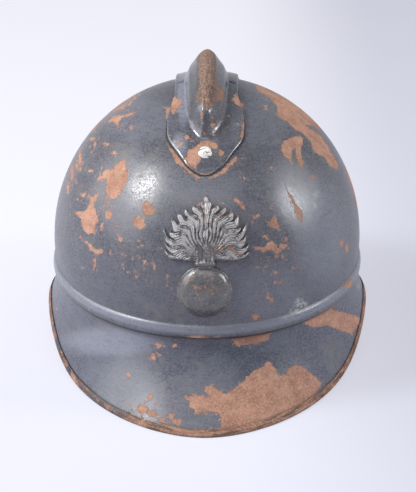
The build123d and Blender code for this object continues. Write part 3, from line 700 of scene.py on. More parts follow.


# Rust patches and spots, scuffs, painted highlight zones and flecks, in pixels of the photograph's frame.
# Spots and zones are a place, half a width and half a height, and painted highlight zones have an amount.

SKULL_PATCHES_PX = (
    ((125.4, 159.6), (126.3, 169.5), (127.9, 173.6), (127.1, 181.1), (118, 197.7), (111.3, 199.4),
     (105.5, 191), (107.2, 182.8), (106.4, 178.6), (95.6, 181.9), (98.9, 177), (103.9, 172.8),
     (103, 169.5), (111.3, 169.5), (116.3, 164.5), (120.5, 161.2)),
    ((86.5, 193.5), (89.8, 194.4), (90.6, 197.7), (98.1, 192.7), (100.6, 193.5), (94.8, 201),
     (93.9, 206), (96.4, 211.8), (98.9, 220.1), (94.8, 225.9), (96.4, 235.8), (93.1, 233.4),
     (86.5, 233.4), (82.3, 227.5), (80.7, 218.4), (74.9, 213.4), (77.3, 211), (84.8, 211),
     (88.9, 206), (89.8, 200.2)),
    ((142.8, 202.7), (147.8, 201), (151.1, 206), (155.3, 209.3), (154.5, 213.4), (149.5, 215.9),
     (144.5, 214.3), (142, 207.6)),
    ((137, 215.1), (141.2, 216.8), (144.5, 221.7), (146.2, 225.9), (141.2, 230), (135.4, 227.5),
     (132.1, 223.4), (134.5, 217.6)),
    ((139.5, 110.6), (127.9, 117.3), (120.5, 118.1), (118, 127.2), (113, 121.4), (106.4, 123.1),
     (113, 116.4), (124.6, 114.8), (131.2, 112.3)),
    ((114.7, 109.8), (126.3, 103.2), (137.9, 94.9), (122.9, 108.1), (111.3, 113.1)),
    ((79, 234.2), (84, 239.2), (89.8, 242.5), (94.8, 249.1), (103, 249.1), (103, 253.3),
     (96.4, 254.9), (92.3, 250.8), (86.5, 244.1), (80.7, 239.2)),
    ((254.8, 84.6), (264.7, 87.4), (271.3, 92.1), (282.9, 96.2), (294.6, 102.3), (306.2, 110.6),
     (313.6, 118.1), (321.1, 127.2), (319.4, 129.7), (311.1, 124.7), (306.2, 125.6), (312.8, 130.5),
     (321.1, 135.5), (326.9, 144.6), (332.7, 154.6), (337.7, 162.9), (337.7, 170.3), (330.2, 166.2),
     (323.6, 157.9), (313.6, 151.3), (311.1, 143), (304.5, 134.7), (296.2, 130.5), (286.3, 121.4),
     (278, 116.4), (277.1, 107.3), (272.2, 100.7), (268, 96.2), (259.7, 92.4)),
    ((284.6, 140.5), (292.9, 137.2), (301.2, 136), (303.2, 138.8), (302, 144.6), (300.4, 151.3),
     (303.7, 167.8), (301.2, 169.2), (297.9, 162.9), (296.2, 156.2), (295.4, 147.9), (292.1, 149.6),
     (291.2, 161.2), (288.7, 160.4), (282.9, 153.7), (280.8, 147.9), (282.1, 144.6)),
    ((287.1, 191.1), (289.6, 192.7), (294.6, 202.7), (302, 211), (302.8, 219.3), (300.4, 222.6),
     (296.2, 215.9), (294.6, 211), (295.4, 207.6), (290.4, 199.4)),
    ((234, 197.7), (236.5, 198), (244, 204.3), (245.6, 209.3), (244, 210.1), (239, 205.2), (234, 201)),
    ((259.7, 213), (260.6, 216.8), (256.4, 217.6), (252.3, 220.9), (252.3, 218.4), (255.6, 214.3)),
    ((273, 214.3), (275.5, 215.9), (278, 222.6), (281.3, 231.7), (278, 229.2), (271.3, 226.7),
     (266.4, 223.4), (266.4, 221.7), (272.2, 220.9)),
    ((253.1, 245.8), (259.7, 247.4), (263.9, 246.6), (265.5, 248.3), (266.4, 242.5), (271.3, 240.8),
     (275.5, 243.3), (276.3, 247.4), (282.1, 248.3), (282.9, 249.9), (279.6, 252.4), (276.3, 259.9),
     (274.7, 257.4), (276.3, 253.3), (271.3, 249.9), (267.2, 249.1), (264.7, 254.1), (262.2, 253.3),
     (262.2, 250.8), (254.8, 249.9)),
    ((352.6, 277.3), (351.8, 287.2), (341, 288.1), (346, 283.1)),
    ((166.1, 108.5), (173.5, 106.1), (174, 114), (170.7, 116.8), (168.9, 122.3), (167, 123.3),
     (165.9, 115.9)),
    ((238.3, 99.2), (244.7, 103.8), (242.9, 108.5), (240.1, 108.5), (238.7, 104.8)),
    ((236.9, 156.1), (236.4, 160.3), (229, 168.6), (221.6, 175.1), (210.5, 178.8), (206.8, 177.8),
     (218.8, 173.2), (227.2, 165.8), (233.6, 157.5)),
    ((167.5, 142.7), (169.8, 147.3), (178.1, 156.6), (186.5, 164), (194.8, 172.3), (199.4, 176.9),
     (206.8, 177.8), (199.4, 178.8), (192, 175.1), (182.8, 166.7), (174.4, 161.2), (174, 157.5),
     (168.9, 148.2)),
    ((139, 92.5), (125, 100), (112, 108.5), (100, 120), (91, 131), (92, 131.6), (101.4, 120.6),
     (113, 109.6), (126, 101.2)),
    ((343, 158), (352, 174), (358, 195), (361, 212), (357, 207), (353, 190), (347, 174)),
)
SKULL_SPOTS_PX = (
    (108.5, 214.5, 3.8, 5.0), (116.3, 225.9, 2.0, 1.2), (120.5, 239.2, 2.4, 2.4), (138.7, 240.8, 2.0, 1.5),
    (110.5, 253.2, 2.0, 1.4), (145.3, 260.7, 2.3, 1.5), (154.5, 266.5, 1.3, 4.5), (146.5, 281, 2.2, 1.2),
    (167.7, 275.6, 1.2, 1.2), (166.9, 282.3, 1.2, 2.5), (159.4, 248.3, 2.5, 1.0), (101.4, 227.5, 1.8, 3.0),
    (108, 202.7, 1.5, 2.2), (113.8, 152.9, 3.5, 1.8), (106.4, 144.6, 3.0, 1.8), (89.8, 171.2, 3.0, 1.8),
    (94.8, 144.6, 1.5, 2.5), (83.1, 195.2, 3.0, 2.2), (131.2, 127.2, 2.0, 1.5), (94.5, 262, 1.5, 5.0),
    (271.7, 168.2, 3.3, 1.5), (244, 178.6, 1.2, 2.0), (254.8, 178.6, 1.5, 1.2), (271.3, 207.5, 1.2, 2.5),
    (265.3, 236.7, 3.0, 1.6), (283.4, 245.8, 4.5, 2.4), (285, 238.5, 2.2, 1.3), (265.5, 267, 1.5, 1.2),
    (275.9, 272.8, 3.2, 2.0), (277.1, 282.3, 4.3, 1.4), (268, 295.9, 1.7, 3.6), (272.4, 299.4, 1.6, 2.9),
    (256.2, 316.4, 4.0, 3.2), (294.6, 268.5, 2.5, 1.2), (197, 337, 9.5, 2.2), (80, 158, 1.6, 8.0),
    (72, 173, 1.4, 9.0), (77, 166, 1.4, 5.0), (68, 188, 1.3, 6.0), (341, 243, 2.0, 4.0),
    (347, 248, 1.6, 4.0), (314, 178, 2.0, 1.2), (266, 107.5, 1.6, 3.0), (92, 139, 3.0, 1.6),
)
BRIM_PATCHES_PX = (
    ((186.1, 397.9), (190.3, 395.8), (201.8, 394.7), (205, 396.8), (210.3, 396.8), (202.9, 389.5),
     (205, 386.3), (213.4, 386.3), (219.7, 390.5), (225, 394.7), (234.5, 388.4), (247.1, 377.9),
     (253.4, 370.5), (263.9, 366.3), (266.1, 361.1), (271.3, 362.1), (275.5, 368.4), (277.6, 374.7),
     (287.1, 374.7), (288.2, 368.4), (295.5, 365.3), (303.9, 367.4), (314.5, 375.8), (322, 383),
     (316, 394), (300, 406), (283, 417), (257, 430), (236, 436), (221, 439),
     (192.4, 440), (191.3, 432.6), (219.7, 428.4), (221.8, 424.2), (220.8, 415.8), (215.5, 411.6),
     (207.1, 411.6), (195.5, 414.7), (194.5, 409.5), (188.2, 407.4), (190.3, 403.2)),
    ((336.6, 302.1), (331.3, 309.5), (356.6, 315.8), (361.8, 318.9), (360.8, 323.2), (357.6, 325.3),
     (352.4, 334.7), (343.9, 331.6), (327.1, 325.3), (318.7, 327.4), (310.3, 326.3), (301.8, 322.1),
     (316.6, 314.7), (327.1, 310.5)),
    ((229.2, 336.9), (255.5, 332.7), (272.4, 329.6), (268.2, 340), (257.6, 343.2), (245, 344.2),
     (237.6, 346.7), (234.5, 343.2)),
)
BRIM_SPOTS_PX = (
    (158.7, 345.3, 3.5, 2.4), (174.5, 345.9, 2.6, 1.8), (153.4, 357.9, 4.0, 2.2), (128.2, 375.8, 1.8, 3.4),
    (150.3, 396.8, 2.4, 2.6), (142.9, 409.5, 6.0, 4.0), (152.4, 413.7, 4.6, 3.2), (160.8, 420, 4.0, 2.0),
    (170.7, 416.8, 3.2, 3.0), (177.6, 421.7, 4.8, 3.4), (167, 424.2, 3.0, 1.6), (57, 309, 1.2, 1.2),
)
COMB_PATCHES_PX = (
    ((195.7, 59.9), (203.1, 46.2), (214.2, 46.2), (216.1, 62.2), (216.1, 77), (218.8, 86.3),
     (223.9, 90), (223.9, 100.1), (215.1, 101.1), (214.2, 104.8), (210.5, 108.5), (206.8, 110.3),
     (203.1, 103.8), (196.6, 102.9), (195.7, 94.6), (199.4, 86.3), (197.6, 71.5), (198.5, 62.2)),
    ((187.4, 151.9), (195.7, 147.3), (200.3, 142.2), (206.8, 140.8), (214.2, 142.7), (217.9, 146.4),
     (216.1, 150.1), (212.4, 148.2), (206.8, 147.3), (201.3, 150.1), (200.3, 154.7), (201.3, 159.3),
     (197.6, 164), (195.7, 167.7), (196.6, 170.4), (192, 166.7), (183.7, 159.3), (186.5, 156.6)),
    ((173, 96), (177.2, 99.2), (181.8, 99.7), (180.9, 104.8), (177.2, 109.4), (172, 115.1), (171, 104.8)),
    ((230.9, 100.1), (237.3, 95.5), (241, 98.2), (241, 106.8), (236.4, 104.8)),
    ((228.2, 161.6), (222.5, 164.9), (219.3, 169.5), (216.4, 174.2), (220, 176), (226.5, 167.1)),
    ((196.5, 173.2), (206.8, 174.1), (216.1, 172.3), (216.1, 179), (205, 180.4), (197, 178)),
)
COMB_SPOTS_PX = (
    (202.2, 114.9, 2.0, 4.0), (212.8, 125.1, 3.0, 2.5), (205, 133, 1.3, 1.6), (186.5, 137.1, 2.2, 2.4),
    (180.4, 144.1, 1.2, 1.0), (221.6, 153.3, 2.4, 3.0), (244, 127.3, 2.4, 4.5), (243, 136.3, 2.2, 4.2),
)
# Scuffs, and at (177, 146) a painted highlight on the comb's flange
SCUFF_AND_HIGHLIGHT_SPOTS_PX = (
    (300, 304, 7.0, 6.0), (296, 311, 8.0, 3.0), (288, 317, 7.0, 2.4), (316, 195, 2.5, 4.0),
    (315, 206, 2.2, 4.0), (131, 241.6, 2.2, 1.4), (84, 267, 2.6, 1.4), (179, 111.5, 3.2, 1.6),
    (238, 124.5, 2.6, 1.2), (91.5, 308, 1.8, 1.2), (160, 163, 2.0, 1.2), (331, 198, 2.6, 1.0),
    (177, 146, 5.0, 8.0), (359, 286, 1.6, 2.6),
)
# Painted highlights and reflections: zones where pale paint stands in for the lamps' reflections
PAINTED_HIGHLIGHT_ZONES_PX = (
    (112, 341, 64, 20, 0.72), (120, 385, 60, 34, 0.16), (183, 95, 9, 44, 0.85), (180, 145, 10, 18, 0.7),
    (223, 95, 6, 34, 0.2), (140, 118, 52, 30, 0.3), (320, 232, 36, 70, 0.44), (268, 290, 50, 40, 0.26),
    (208, 186, 60, 26, 0.14), (292, 203, 22, 26, 0.2), (235, 128, 8, 24, 0.2), (262, 120, 40, 40, 0.24),
)
FLECK_ZONES_PX = (
    (90, 185, 44, 100), (140, 262, 44, 30), (275, 252, 38, 36), (208, 228, 60, 50), (345, 240, 18, 36),
    (152, 408, 52, 20), (208, 120, 36, 50), (330, 320, 40, 24),
)
FLECK_DEPTH_PX = -2.2
FAR_DEPTH_PX = -12.0
DEEPEST_PX = 12
RAGGED_PX = 8.5
RIM_START_PX = 6
RIM_SLOPE_PX = 60


def outline_depth(points, outline):
    """How deep in an outline each point lies, in pixels. It is negative outside."""
    corners = np.array(outline)
    ends = np.roll(corners, -1, axis=0)
    nearest = np.full(len(points), np.inf)
    inside = np.zeros(len(points), bool)
    for start, end in zip(corners, ends):
        side = end - start
        share = np.clip(((points - start) @ side) / (side @ side), 0, 1)
        nearest = np.minimum(nearest, np.linalg.norm(points - start - share[:, None] * side, axis=1))
        crosses = (start[1] > points[:, 1]) != (end[1] > points[:, 1])
        slope = np.divide(side[0], side[1], out=np.zeros(1), where=side[1] != 0)[0]
        inside ^= crosses & (points[:, 0] < start[0] + (points[:, 1] - start[1]) * slope)
    return np.where(inside, nearest, -nearest)


def spot_depth(places, spots, start):
    """How deep in round or long spots each place lies, in pixels."""
    depth = start
    for x, y, wide, high in spots:
        off = (places - (x, y)) / (wide, high)
        depth = np.maximum(depth, (1 - np.linalg.norm(off, axis=1)) * min(wide, high))
    return depth


def photo_marks(made, patches=(), spots=()):
    """Stores how deep in the photograph's rust and scuffs each point lies, in pixels, and how strong the
    painted highlight is there.
    """
    points, normals = points_of(made)
    back = np.array(camera_axes()[2])
    facing = np.einsum("ij,ij->i", unit(MIDDLE + back * CAMERA_DISTANCE - points), normals)
    places = to_photo(points)
    depth = far = np.full(len(points), FAR_DEPTH_PX)
    for x, y, wide, high in FLECK_ZONES_PX:
        share = 1 - np.linalg.norm((places - (x, y)) / (wide, high), axis=1)
        fleck = FAR_DEPTH_PX + (FLECK_DEPTH_PX - FAR_DEPTH_PX) * smooth_step(share * 2)
        depth = np.maximum(depth, fleck)
    for outline in patches:
        depth = np.maximum(depth, outline_depth(places, outline))
    depth = spot_depth(places, spots, depth)
    scuff_and_highlight = spot_depth(places, SCUFF_AND_HIGHLIGHT_SPOTS_PX, far)
    # Painted highlight, strongest in the middle of each zone
    painted_highlight = np.zeros(len(points))
    for x, y, wide, high, amount in PAINTED_HIGHLIGHT_ZONES_PX:
        away = np.linalg.norm((places - (x, y)) / (wide, high), axis=1)
        painted_highlight = np.maximum(painted_highlight, amount * smooth_step((1 - away) * 1.6))
    limit = facing * RIM_SLOPE_PX + RIM_START_PX + lumps(points, RIM_LUMPS)
    limit = np.where(facing > 0.05, DEEPEST_PX, np.maximum(limit, FAR_DEPTH_PX))
    store(made, "painted_highlight", np.where(facing > 0, painted_highlight, 0))
    store(made, "rust", np.minimum(depth, limit))
    store(made, "scuff_and_highlight", np.where(facing > 0, scuff_and_highlight, FAR_DEPTH_PX))
    store(made, "hidden", smooth_step(0.5 - facing * 2.5))


# Finishes

def rust_colour(finish, dull):
    """Orange brown rust with grey, yellow and dark specks. Dull rust is darker and browner."""
    span, mix = finish.span, finish.mix
    fine = finish.clouds(1.3 * MM, 4, 0.66)
    specks = finish.clouds(0.8 * MM, 2, 0.5)
    colour = mix(span(finish.clouds(7 * MM, 4, 0.62), 0.3, 0.7), RUST_DEEP, RUST_BRIGHT)
    colour = mix(span(fine, 0.50, 0.66, 0, 0.7), colour, RUST_YELLOW)
    colour = mix(span(fine, 0.46, 0.34, 0, 0.6), colour, RUST_RED)
    colour = mix(span(specks, 0.42, 0.30, 0, 0.8), colour, RUST_SPECK)
    brown = mix(span(fine, 0.38, 0.62), BROWN_DEEP, BROWN_BRIGHT)
    return mix(dull, colour, mix(span(specks, 0.60, 0.72), brown, BROWN_SPECK))


def painted_steel(name, dark, pale, rubbed, wear=1.0, gloss=0.0, streaked=False, shine=0.8):
    """Worn satin paint over rusting steel."""
    finish = Finish(name)
    clouds, span, mix, kept = finish.clouds, finish.span, finish.mix, finish.attribute
    add, less, times, most = finish.add, finish.less, finish.times, finish.most

    # Where the rust is: the photograph's patches, small spots, and patches on the hidden sides
    near = kept("rust")
    depth = times(less(clouds(1.9 * MM, 6, 0.76), 0.5), RAGGED_PX, near)
    patch = span(depth, -0.2, 0.2)
    zones = clouds(34 * MM, 2, 0.5)
    level = less(times(zones, -0.16, 0.79), span(near, -9.0, -0.5, 0, 0.125))
    spot = span(less(clouds(3.0 * MM, 6, 0.74), level), 0.0, 0.012)
    wild = times(kept("hidden"), 0.22, less(clouds(23 * MM, 8, 0.66, 0.35), 0.83))
    rust = most(patch, spot, span(wild, 0.0, 0.012))

    # The paint, from its tone to its scratches, scuffs, painted highlights and rubbed edges
    mottle = clouds(24 * MM, 5, 0.62, 0.4)
    blotch = clouds(4.2 * MM, 4, 0.62)
    grain = clouds(1.3 * MM, 3, 0.62)
    brushed = clouds(7 * MM, 5, 0.65, 0.0, (1, 1, 11))
    tone = add(span(mottle, 0.3, 0.7, 0, 0.42), span(brushed, 0.35, 0.68, 0, 0.33))
    paint = mix(add(tone, span(blotch, 0.35, 0.66, 0, 0.3)), dark, pale)
    paint = mix(span(grain, 0.48, 0.72, 0.0, 0.5), paint, tuple(1.5 * c for c in pale))
    paint = mix(span(grain, 0.42, 0.3, 0.0, 0.16), paint, tuple(0.8 * c for c in dark))
    film = span(clouds(17 * MM, 6, 0.7, 0.6), 0.50, 0.74, 0, 0.34)
    film = times(film, span(blotch, 0.36, 0.6, 0.45, 1.0))
    scratch = finish.math("ABSOLUTE", less(clouds(11 * MM, 2, 0.4, 1.2, (1, 3.2, 1)), 0.5))
    scratch = times(span(scratch, 0.003, 0.0008), span(zones, 0.52, 0.64, 0, 0.35))
    # Scuffs, one of them a painted highlight
    scuff_and_highlight = times(less(blotch, 0.5), 7.0, kept("scuff_and_highlight"))
    scuff_and_highlight = times(span(scuff_and_highlight, -1.5, 3.0), span(grain, 0.36, 0.6, 0.45, 0.85))
    beaten = mix(span(clouds(1.9 * MM, 4, 0.7), 0.43, 0.54), SCUFF_DARK, SCUFF_PALE)
    # Painted highlight: pale colour where the lamps' reflections fall
    painted_highlight = times(kept("painted_highlight"), span(brushed, 0.3, 0.65, 0.7, 1.1))
    edge = times(clouds(3.2 * MM, 5, 0.75), wear, kept("edge"))
    for share, colour in (
        (film, FILM_COLOUR), (scratch, SCRATCH_COLOUR), (scuff_and_highlight, beaten), (painted_highlight, PAINTED_HIGHLIGHT_COLOUR),
        (span(edge, 1.12, 1.2), rubbed),
    ):
        paint = mix(share, paint, colour)

    # The rust's colour, darker round its patches and streaked along a folded edge
    rusty = rust_colour(finish, kept("dull"))
    rusty = mix(times(times(span(depth, 0.9, 0.15), patch), 0.45), rusty, RUST_RIM)
    if streaked:
        place = finish.node("ShaderNodeCombineXYZ")
        place = finish.fill(place, X=times(kept("along"), 0.12), Y=kept("level"))[0]
        streak = clouds(1.1 * MM, 5.0, 0.65, place=place)
        rusty = mix(span(streak, 0.55, 0.38, 0, 0.85), rusty, STREAK_DARK)
        rusty = mix(span(streak, 0.60, 0.70, 0, 0.8), rusty, STREAK_PALE)
    # Painted shade: near black in creases, hollows and under parts, and painted contact shade where parts
    # meet
    crease = times(kept("crease"), span(brushed, 0.2, 0.5, 0.75, 1.0))
    crease = most(crease, span(kept("contact_shade"), 2.1, 2.7, 0, 0.93))

    rough = span(mottle, 0.3, 0.7, 0.18 - gloss, 0.25 - gloss)
    for field, low, high, more in (
        (grain, 0.35, 0.7, 0.10), (brushed, 0.4, 0.7, 0.05), (clouds(0.75 * MM, 3, 0.7), 0.44, 0.60, 0.17),
        (clouds(1.5 * MM, 4, 0.7), 0.54, 0.66, 0.18),
    ):
        rough = add(rough, span(field, low, high, 0, more))
    skin = finish.bump(blotch, 0.07 * MM, finish.bump(grain, 0.03 * MM))
    crust = times(times(rust, clouds(0.9 * MM, 4, 0.75)), 1.4, times(rust, -1.0))
    return finish.done(
        Base_Color=mix(crease, mix(rust, paint, rusty), PAINTED_SHADE_COLOUR),
        Roughness=most(times(film, 0.5, rough), times(scuff_and_highlight, 0.6), times(rust, 0.84)),
        Normal=finish.bump(crust, 0.18 * MM, skin),
        Specular_IOR_Level=shine,
    )


def bare_metal(name, dark, pale, rough, stain, stain_level, metallic=1.0):
    """Dull metal with stains."""
    finish = Finish(name)
    fine = finish.clouds(0.5 * MM, 4, 0.7)
    colour = finish.mix(finish.span(finish.clouds(3.2 * MM, 5, 0.65), 0.3, 0.7), dark, pale)
    marks = finish.span(finish.clouds(1.9 * MM, 6, 0.72, 0.5), stain_level, stain_level + 0.06)
    return finish.done(
        Base_Color=finish.mix(marks, colour, stain),
        Metallic=metallic,
        Roughness=finish.times(fine, 0.25, finish.times(marks, 0.3, rough)),
        Normal=finish.bump(marks, -0.06 * MM, finish.bump(fine, 0.05 * MM)),
    )


def leather(name, dark, pale, crease=0.0):
    """Old leather: grain, cracks, rubbed high places and darker stains."""
    finish = Finish(name)
    span, mix = finish.span, finish.mix
    grain = finish.cells(1.1 * MM)
    broad = finish.clouds(16 * MM, 5, 0.6, 0.3)
    split = span(finish.cells(5 * MM, (1, 1, 2.2)), 0.035, 0.0)
    colour = mix(span(broad, 0.3, 0.7), dark, pale)
    colour = mix(span(grain, 0.16, 0.0, 0, 0.5), colour, tuple(0.45 * c for c in dark))
    rubbed = span(finish.clouds(7 * MM, 6, 0.7), 0.55, 0.7, 0, 0.6)
    colour = mix(rubbed, colour, tuple(1.7 * c for c in pale))
    colour = mix(finish.times(split, 0.5), colour, tuple(0.3 * c for c in dark))
    under = finish.bump(span(grain, 0.0, 0.18), 0.14 * MM)
    under = finish.bump(finish.clouds(0.5 * MM, 4, 0.65), 0.05 * MM, under)
    under = finish.bump(split, -0.15 * MM, under)
    if crease:
        line = finish.math("ABSOLUTE", finish.less(finish.attribute("across"), crease))
        under = finish.bump(span(line, 0.0, 0.035), 0.25 * MM, under)
    return finish.done(Base_Color=colour, Roughness=finish.times(broad, 0.25, 0.42), Normal=under)


def wool(name, dark, pale):
    """Coarse woven wool with fuzz."""
    finish = Finish(name)
    place = finish.fill(finish.node("ShaderNodeCombineXYZ"), X=finish.attribute("turns"))[0]
    waves = []
    for kind, vector, warp in (("bands", finish.coords(), 0.6), ("rings", place, 0.0)):
        made = finish.node("ShaderNodeTexWave", wave_type=kind.upper(), **{kind + "_direction": "Z"})
        waves.append(finish.fill(made, Vector=vector, Scale=WEAVE_SCALE, Distortion=warp)["Fac"])
    weave = finish.times(*waves)
    fuzz = finish.clouds(0.35 * MM, 5, 0.75)
    colour = finish.mix(finish.times(fuzz, 0.6, finish.times(weave, 0.4)), dark, pale)
    dirt = finish.span(finish.clouds(14 * MM, 4, 0.6), 0.5, 0.75, 0, 0.5)
    return finish.done(
        Base_Color=finish.mix(dirt, colour, WOOL_DIRT),
        Roughness=0.95,
        Sheen_Weight=0.35,
        Sheen_Roughness=0.5,
        Normal=finish.bump(fuzz, 0.2 * MM, finish.bump(weave, 0.35 * MM)),
    )


# Skull

def skull_radius(z, inset):
    """Radius of the round skull at a height."""
    return (SKULL_WIDTH / 2 - inset) * np.sqrt(1 - (z / (SKULL_RISE - inset)) ** 2)


COLLAR_BORE = skull_radius(BEAD_TOP - SHEET, SHEET)
COLLAR_MIDDLE = COLLAR_BORE - SEAT_GAP - SHEET / 2
WALL = skull_radius(-CLIP_DROP, SHEET) - SEAT_GAP


def rounded_line(points, step, window):
    """Points a step apart along a line, with its corners rounded."""
    points = np.array(points)
    lengths = np.concatenate([[0], np.cumsum(np.linalg.norm(np.diff(points, axis=0), axis=1))])
    places = np.linspace(0, lengths[-1], max(2, round(lengths[-1] / step)))
    line = np.stack([np.interp(places, lengths, points[:, k]) for k in range(points.shape[1])], axis=1)
    for _ in range(window):
        line[1:-1] = (line[:-2] + 2 * line[1:-1] + line[2:]) / 4
    return line


def half_ellipse(wide, high, count):
    """Right half of an ellipse from its top down to its foot."""
    turns = np.linspace(math.pi / 2, -math.pi / 2, count)
    return [(wide * math.cos(t), high * math.sin(t)) for t in turns]


def skull_profile():
    """The skull's section, from the crown down the outside and back up the inside."""
    def arc(inset, angles):
        return [((SKULL_WIDTH / 2 - inset) * math.cos(t), (SKULL_RISE - inset) * math.sin(t)) for t in angles]

    def roll(bulge, high, count):
        return [(skull_radius(BEAD_TOP, 0) + r, z - BEAD_DROP) for r, z in half_ellipse(bulge, high, count)]

    dome = arc(0, np.linspace(math.pi / 2, math.asin(BEAD_TOP / SKULL_RISE), SKULL_ROWS))
    bore = roll(BEAD_BULGE - SHEET, BEAD_HEIGHT / 2 - SHEET, 14)[::-1]
    foot = [(COLLAR_BORE, BEAD_FOOT), (COLLAR_BORE, BEAD_FOOT + SHEET)]
    start = math.asin((BEAD_TOP - SHEET) / (SKULL_RISE - SHEET))
    inner = arc(SHEET, np.linspace(start, math.pi / 2, SKULL_ROWS // 3))
    bead = rounded_line(dome[-2:] + roll(BEAD_BULGE, BEAD_HEIGHT / 2, 30) + foot[:1], BEAD_STEP, 2)
    return np.concatenate([dome[:-2], bead, foot[1:], bore, inner])


def lathe(profile, columns, stretch):
    """A section turned round the axis and stretched along it."""
    turns = np.linspace(0, 2 * math.pi, columns, endpoint=False)[:, None]
    radius, z = profile.T
    return stack(radius * np.cos(turns), stretch * radius * np.sin(turns), z)


def dent(made):
    """Presses soft hollows into the skull's dome, inwards only."""
    points, _ = points_of(made)
    amount = (lumps(points, DENT_LUMPS) + 1) / 2 * DENT_DEPTH
    amount *= smooth_step((points[:, 2] - SKULL_HEIGHT) / DENT_START)
    move(made, points - unit(points - MIDDLE) * amount[:, None])


def vent_cutter():
    """An upright bar with round ends, as long as the vent."""
    outline = []
    for end, start in ((1, 0), (-1, math.pi)):
        for turn in np.linspace(0, math.pi, 13):
            x = VENT_WIDTH / 2 * math.cos(start + turn)
            y = end * (VENT_LENGTH - VENT_WIDTH) / 2 + VENT_WIDTH / 2 * math.sin(start + turn)
            outline.append((x, y))
    return prism("vent_cutter", outline, SKULL_RISE - 20 * MM, SKULL_RISE + 10 * MM)


def make_skull(finish):
    """The drawn skull with its rolled bead and the vent under the comb."""
    skull = tidy(grid_object("skull", lathe(skull_profile(), SKULL_COLUMNS, STRETCH), ring=True))
    dent(skull)
    cut(skull, vent_cutter())
    photo_marks(skull, SKULL_PATCHES_PX, SKULL_SPOTS_PX)
    local = local_points(skull)
    x, y, z = local.T
    crown = np.abs(z + BEAD_DROP) / BEAD_HEIGHT
    out = (np.hypot(x, y / STRETCH) - skull_radius(BEAD_TOP, 0)) / BEAD_BULGE
    line = 1 - np.abs(z - BEAD_TOP - WORN_LINE_RISE - lumps(local, WORN_LINE_LUMPS)) / WORN_LINE_WIDTH
    bead_wear = np.where(crown < 0.5, np.clip(out, 0, 1) * 0.52, 0)
    store(skull, "edge", np.maximum(bead_wear, 0.62 * np.clip(line * 2, 0, 1)))
    # A painted highlight along the bead's upper half
    bead_painted_highlight = smooth_step((z + BEAD_DROP + 1.5 * MM) / (2.5 * MM))
    bead_painted_highlight = bead_painted_highlight * (crown < 0.6) * np.clip(out * 3, 0, 1)
    store(skull, "painted_highlight", np.maximum(stored(skull, "painted_highlight"), 0.66 * bead_painted_highlight))
    # Painted contact shade in a thin line at the bead's foot and beside the comb's rim
    foot = (z - BEAD_FOOT) / MM - 0.5
    beside = np.full(len(local), np.inf)
    near = (z > SKULL_RISE / 2) & (np.abs(x) < 40 * MM)
    beside[near] = edge_distance(x[near], y[near], comb_rim(300)) / MM
    store(skull, "contact_shade", np.clip(3 - np.minimum(foot, beside - 0.1), 0, 3))
    dress(skull, finish, "helmet", ["skull_shell"])


# Brim

def brim_point(turn, run):
    """Middle of the brim's sheet. run is 0 to 1 down the collar and 1 to 2 out to the edge."""
    reach = np.where(np.sin(turn) < 0, FRONT_REACH, REAR_REACH)
    across = np.abs(np.cos(turn) / (BRIM_WIDTH / 2 - BINDING_RADIUS)) ** EDGE_ROUND
    along = np.abs(STRETCH * np.sin(turn) / (reach - BINDING_RADIUS)) ** EDGE_ROUND
    edge_radius = (across + along) ** (-1 / EDGE_ROUND)
    floor = BINDING_RADIUS - BINDING_FLAT - SKULL_HEIGHT
    edge = SIDE_EDGE + (floor - SIDE_EDGE) * (1 - np.abs(np.cos(turn)) ** ARCH)
    t = np.clip(run - 1, 0, 1)
    weights = ((1 - t) ** 3, 3 * t * (1 - t) ** 2, 3 * t**2 * (1 - t), t**3)
    out = sum(w * share[0] for w, share in zip(weights, FLARE))
    down = sum(w * share[1] for w, share in zip(weights, FLARE))
    radius = COLLAR_MIDDLE + (edge_radius - COLLAR_MIDDLE) * out
    collar = COLLAR_TOP + np.minimum(run, 1) * (BEAD_FOOT - COLLAR_TOP)
    z = np.where(run <= 1, collar, BEAD_FOOT + (edge - BEAD_FOOT) * down)
    return stretched(radius, turn, z)


def lap_angle(length):
    """Angle that a length of the brim's side takes."""
    return length / (STRETCH * BRIM_WIDTH / 2)


def joggle(turn, run):
    """How far in the neck guard's ends step, to pass behind the visor."""
    across = 1 - smooth_step(np.minimum(turn, math.pi - turn) / lap_angle(JOGGLE_LENGTH))
    low, high = (1 + share for share in JOGGLE_ENDS)
    return -(SHEET + LAP_GAP) * across * (1 - smooth_step((run - low) / (high - low)))


def surface_normals(grid):
    """Directions square to a grid's surface, away from the axis."""
    normals = unit(np.cross(np.gradient(grid, axis=0), np.gradient(grid, axis=1)))
    outward = np.sign((normals[..., :2] * grid[..., :2]).sum(axis=-1))
    return normals * outward[..., None]


BRIM_RUNS = np.concatenate([np.linspace(0, 1, 8)[:-1], 1 + np.linspace(0, 1, 56)])


def brim_sheet(name, turns, step_in, keep=None):
    """A brim piece, with its sheet's thickness."""
    turn, run = np.meshgrid(turns, BRIM_RUNS, indexing="ij")
    middle = brim_point(turn, run)
    wave = lumps(middle, BRIM_WAVE) * smooth_step(run - 1) * smooth_step((2 - run) * 4)
    outer = middle + surface_normals(middle) * (SHEET / 2 + step_in(turn, run) + wave)[..., None]
    made = grid_object(name, outer, keep=None if keep is None else keep(turns, BRIM_RUNS))
    return thicken(tidy(made, MIDDLE - (0, 0, SKULL_HEIGHT)), SHEET)


def make_visor(finish):
    """The front brim."""
    gap = lap_angle(SIDE_GAP)
    turns = np.linspace(math.pi + gap, 2 * math.pi - gap, 330)
    visor = brim_sheet("visor_sheet", turns, lambda turn, run: 0 * turn)
    photo_marks(visor, BRIM_PATCHES_PX, BRIM_SPOTS_PX)
    brim_shade_and_wear(visor)
    dress(visor, finish, "helmet", ["visor"])


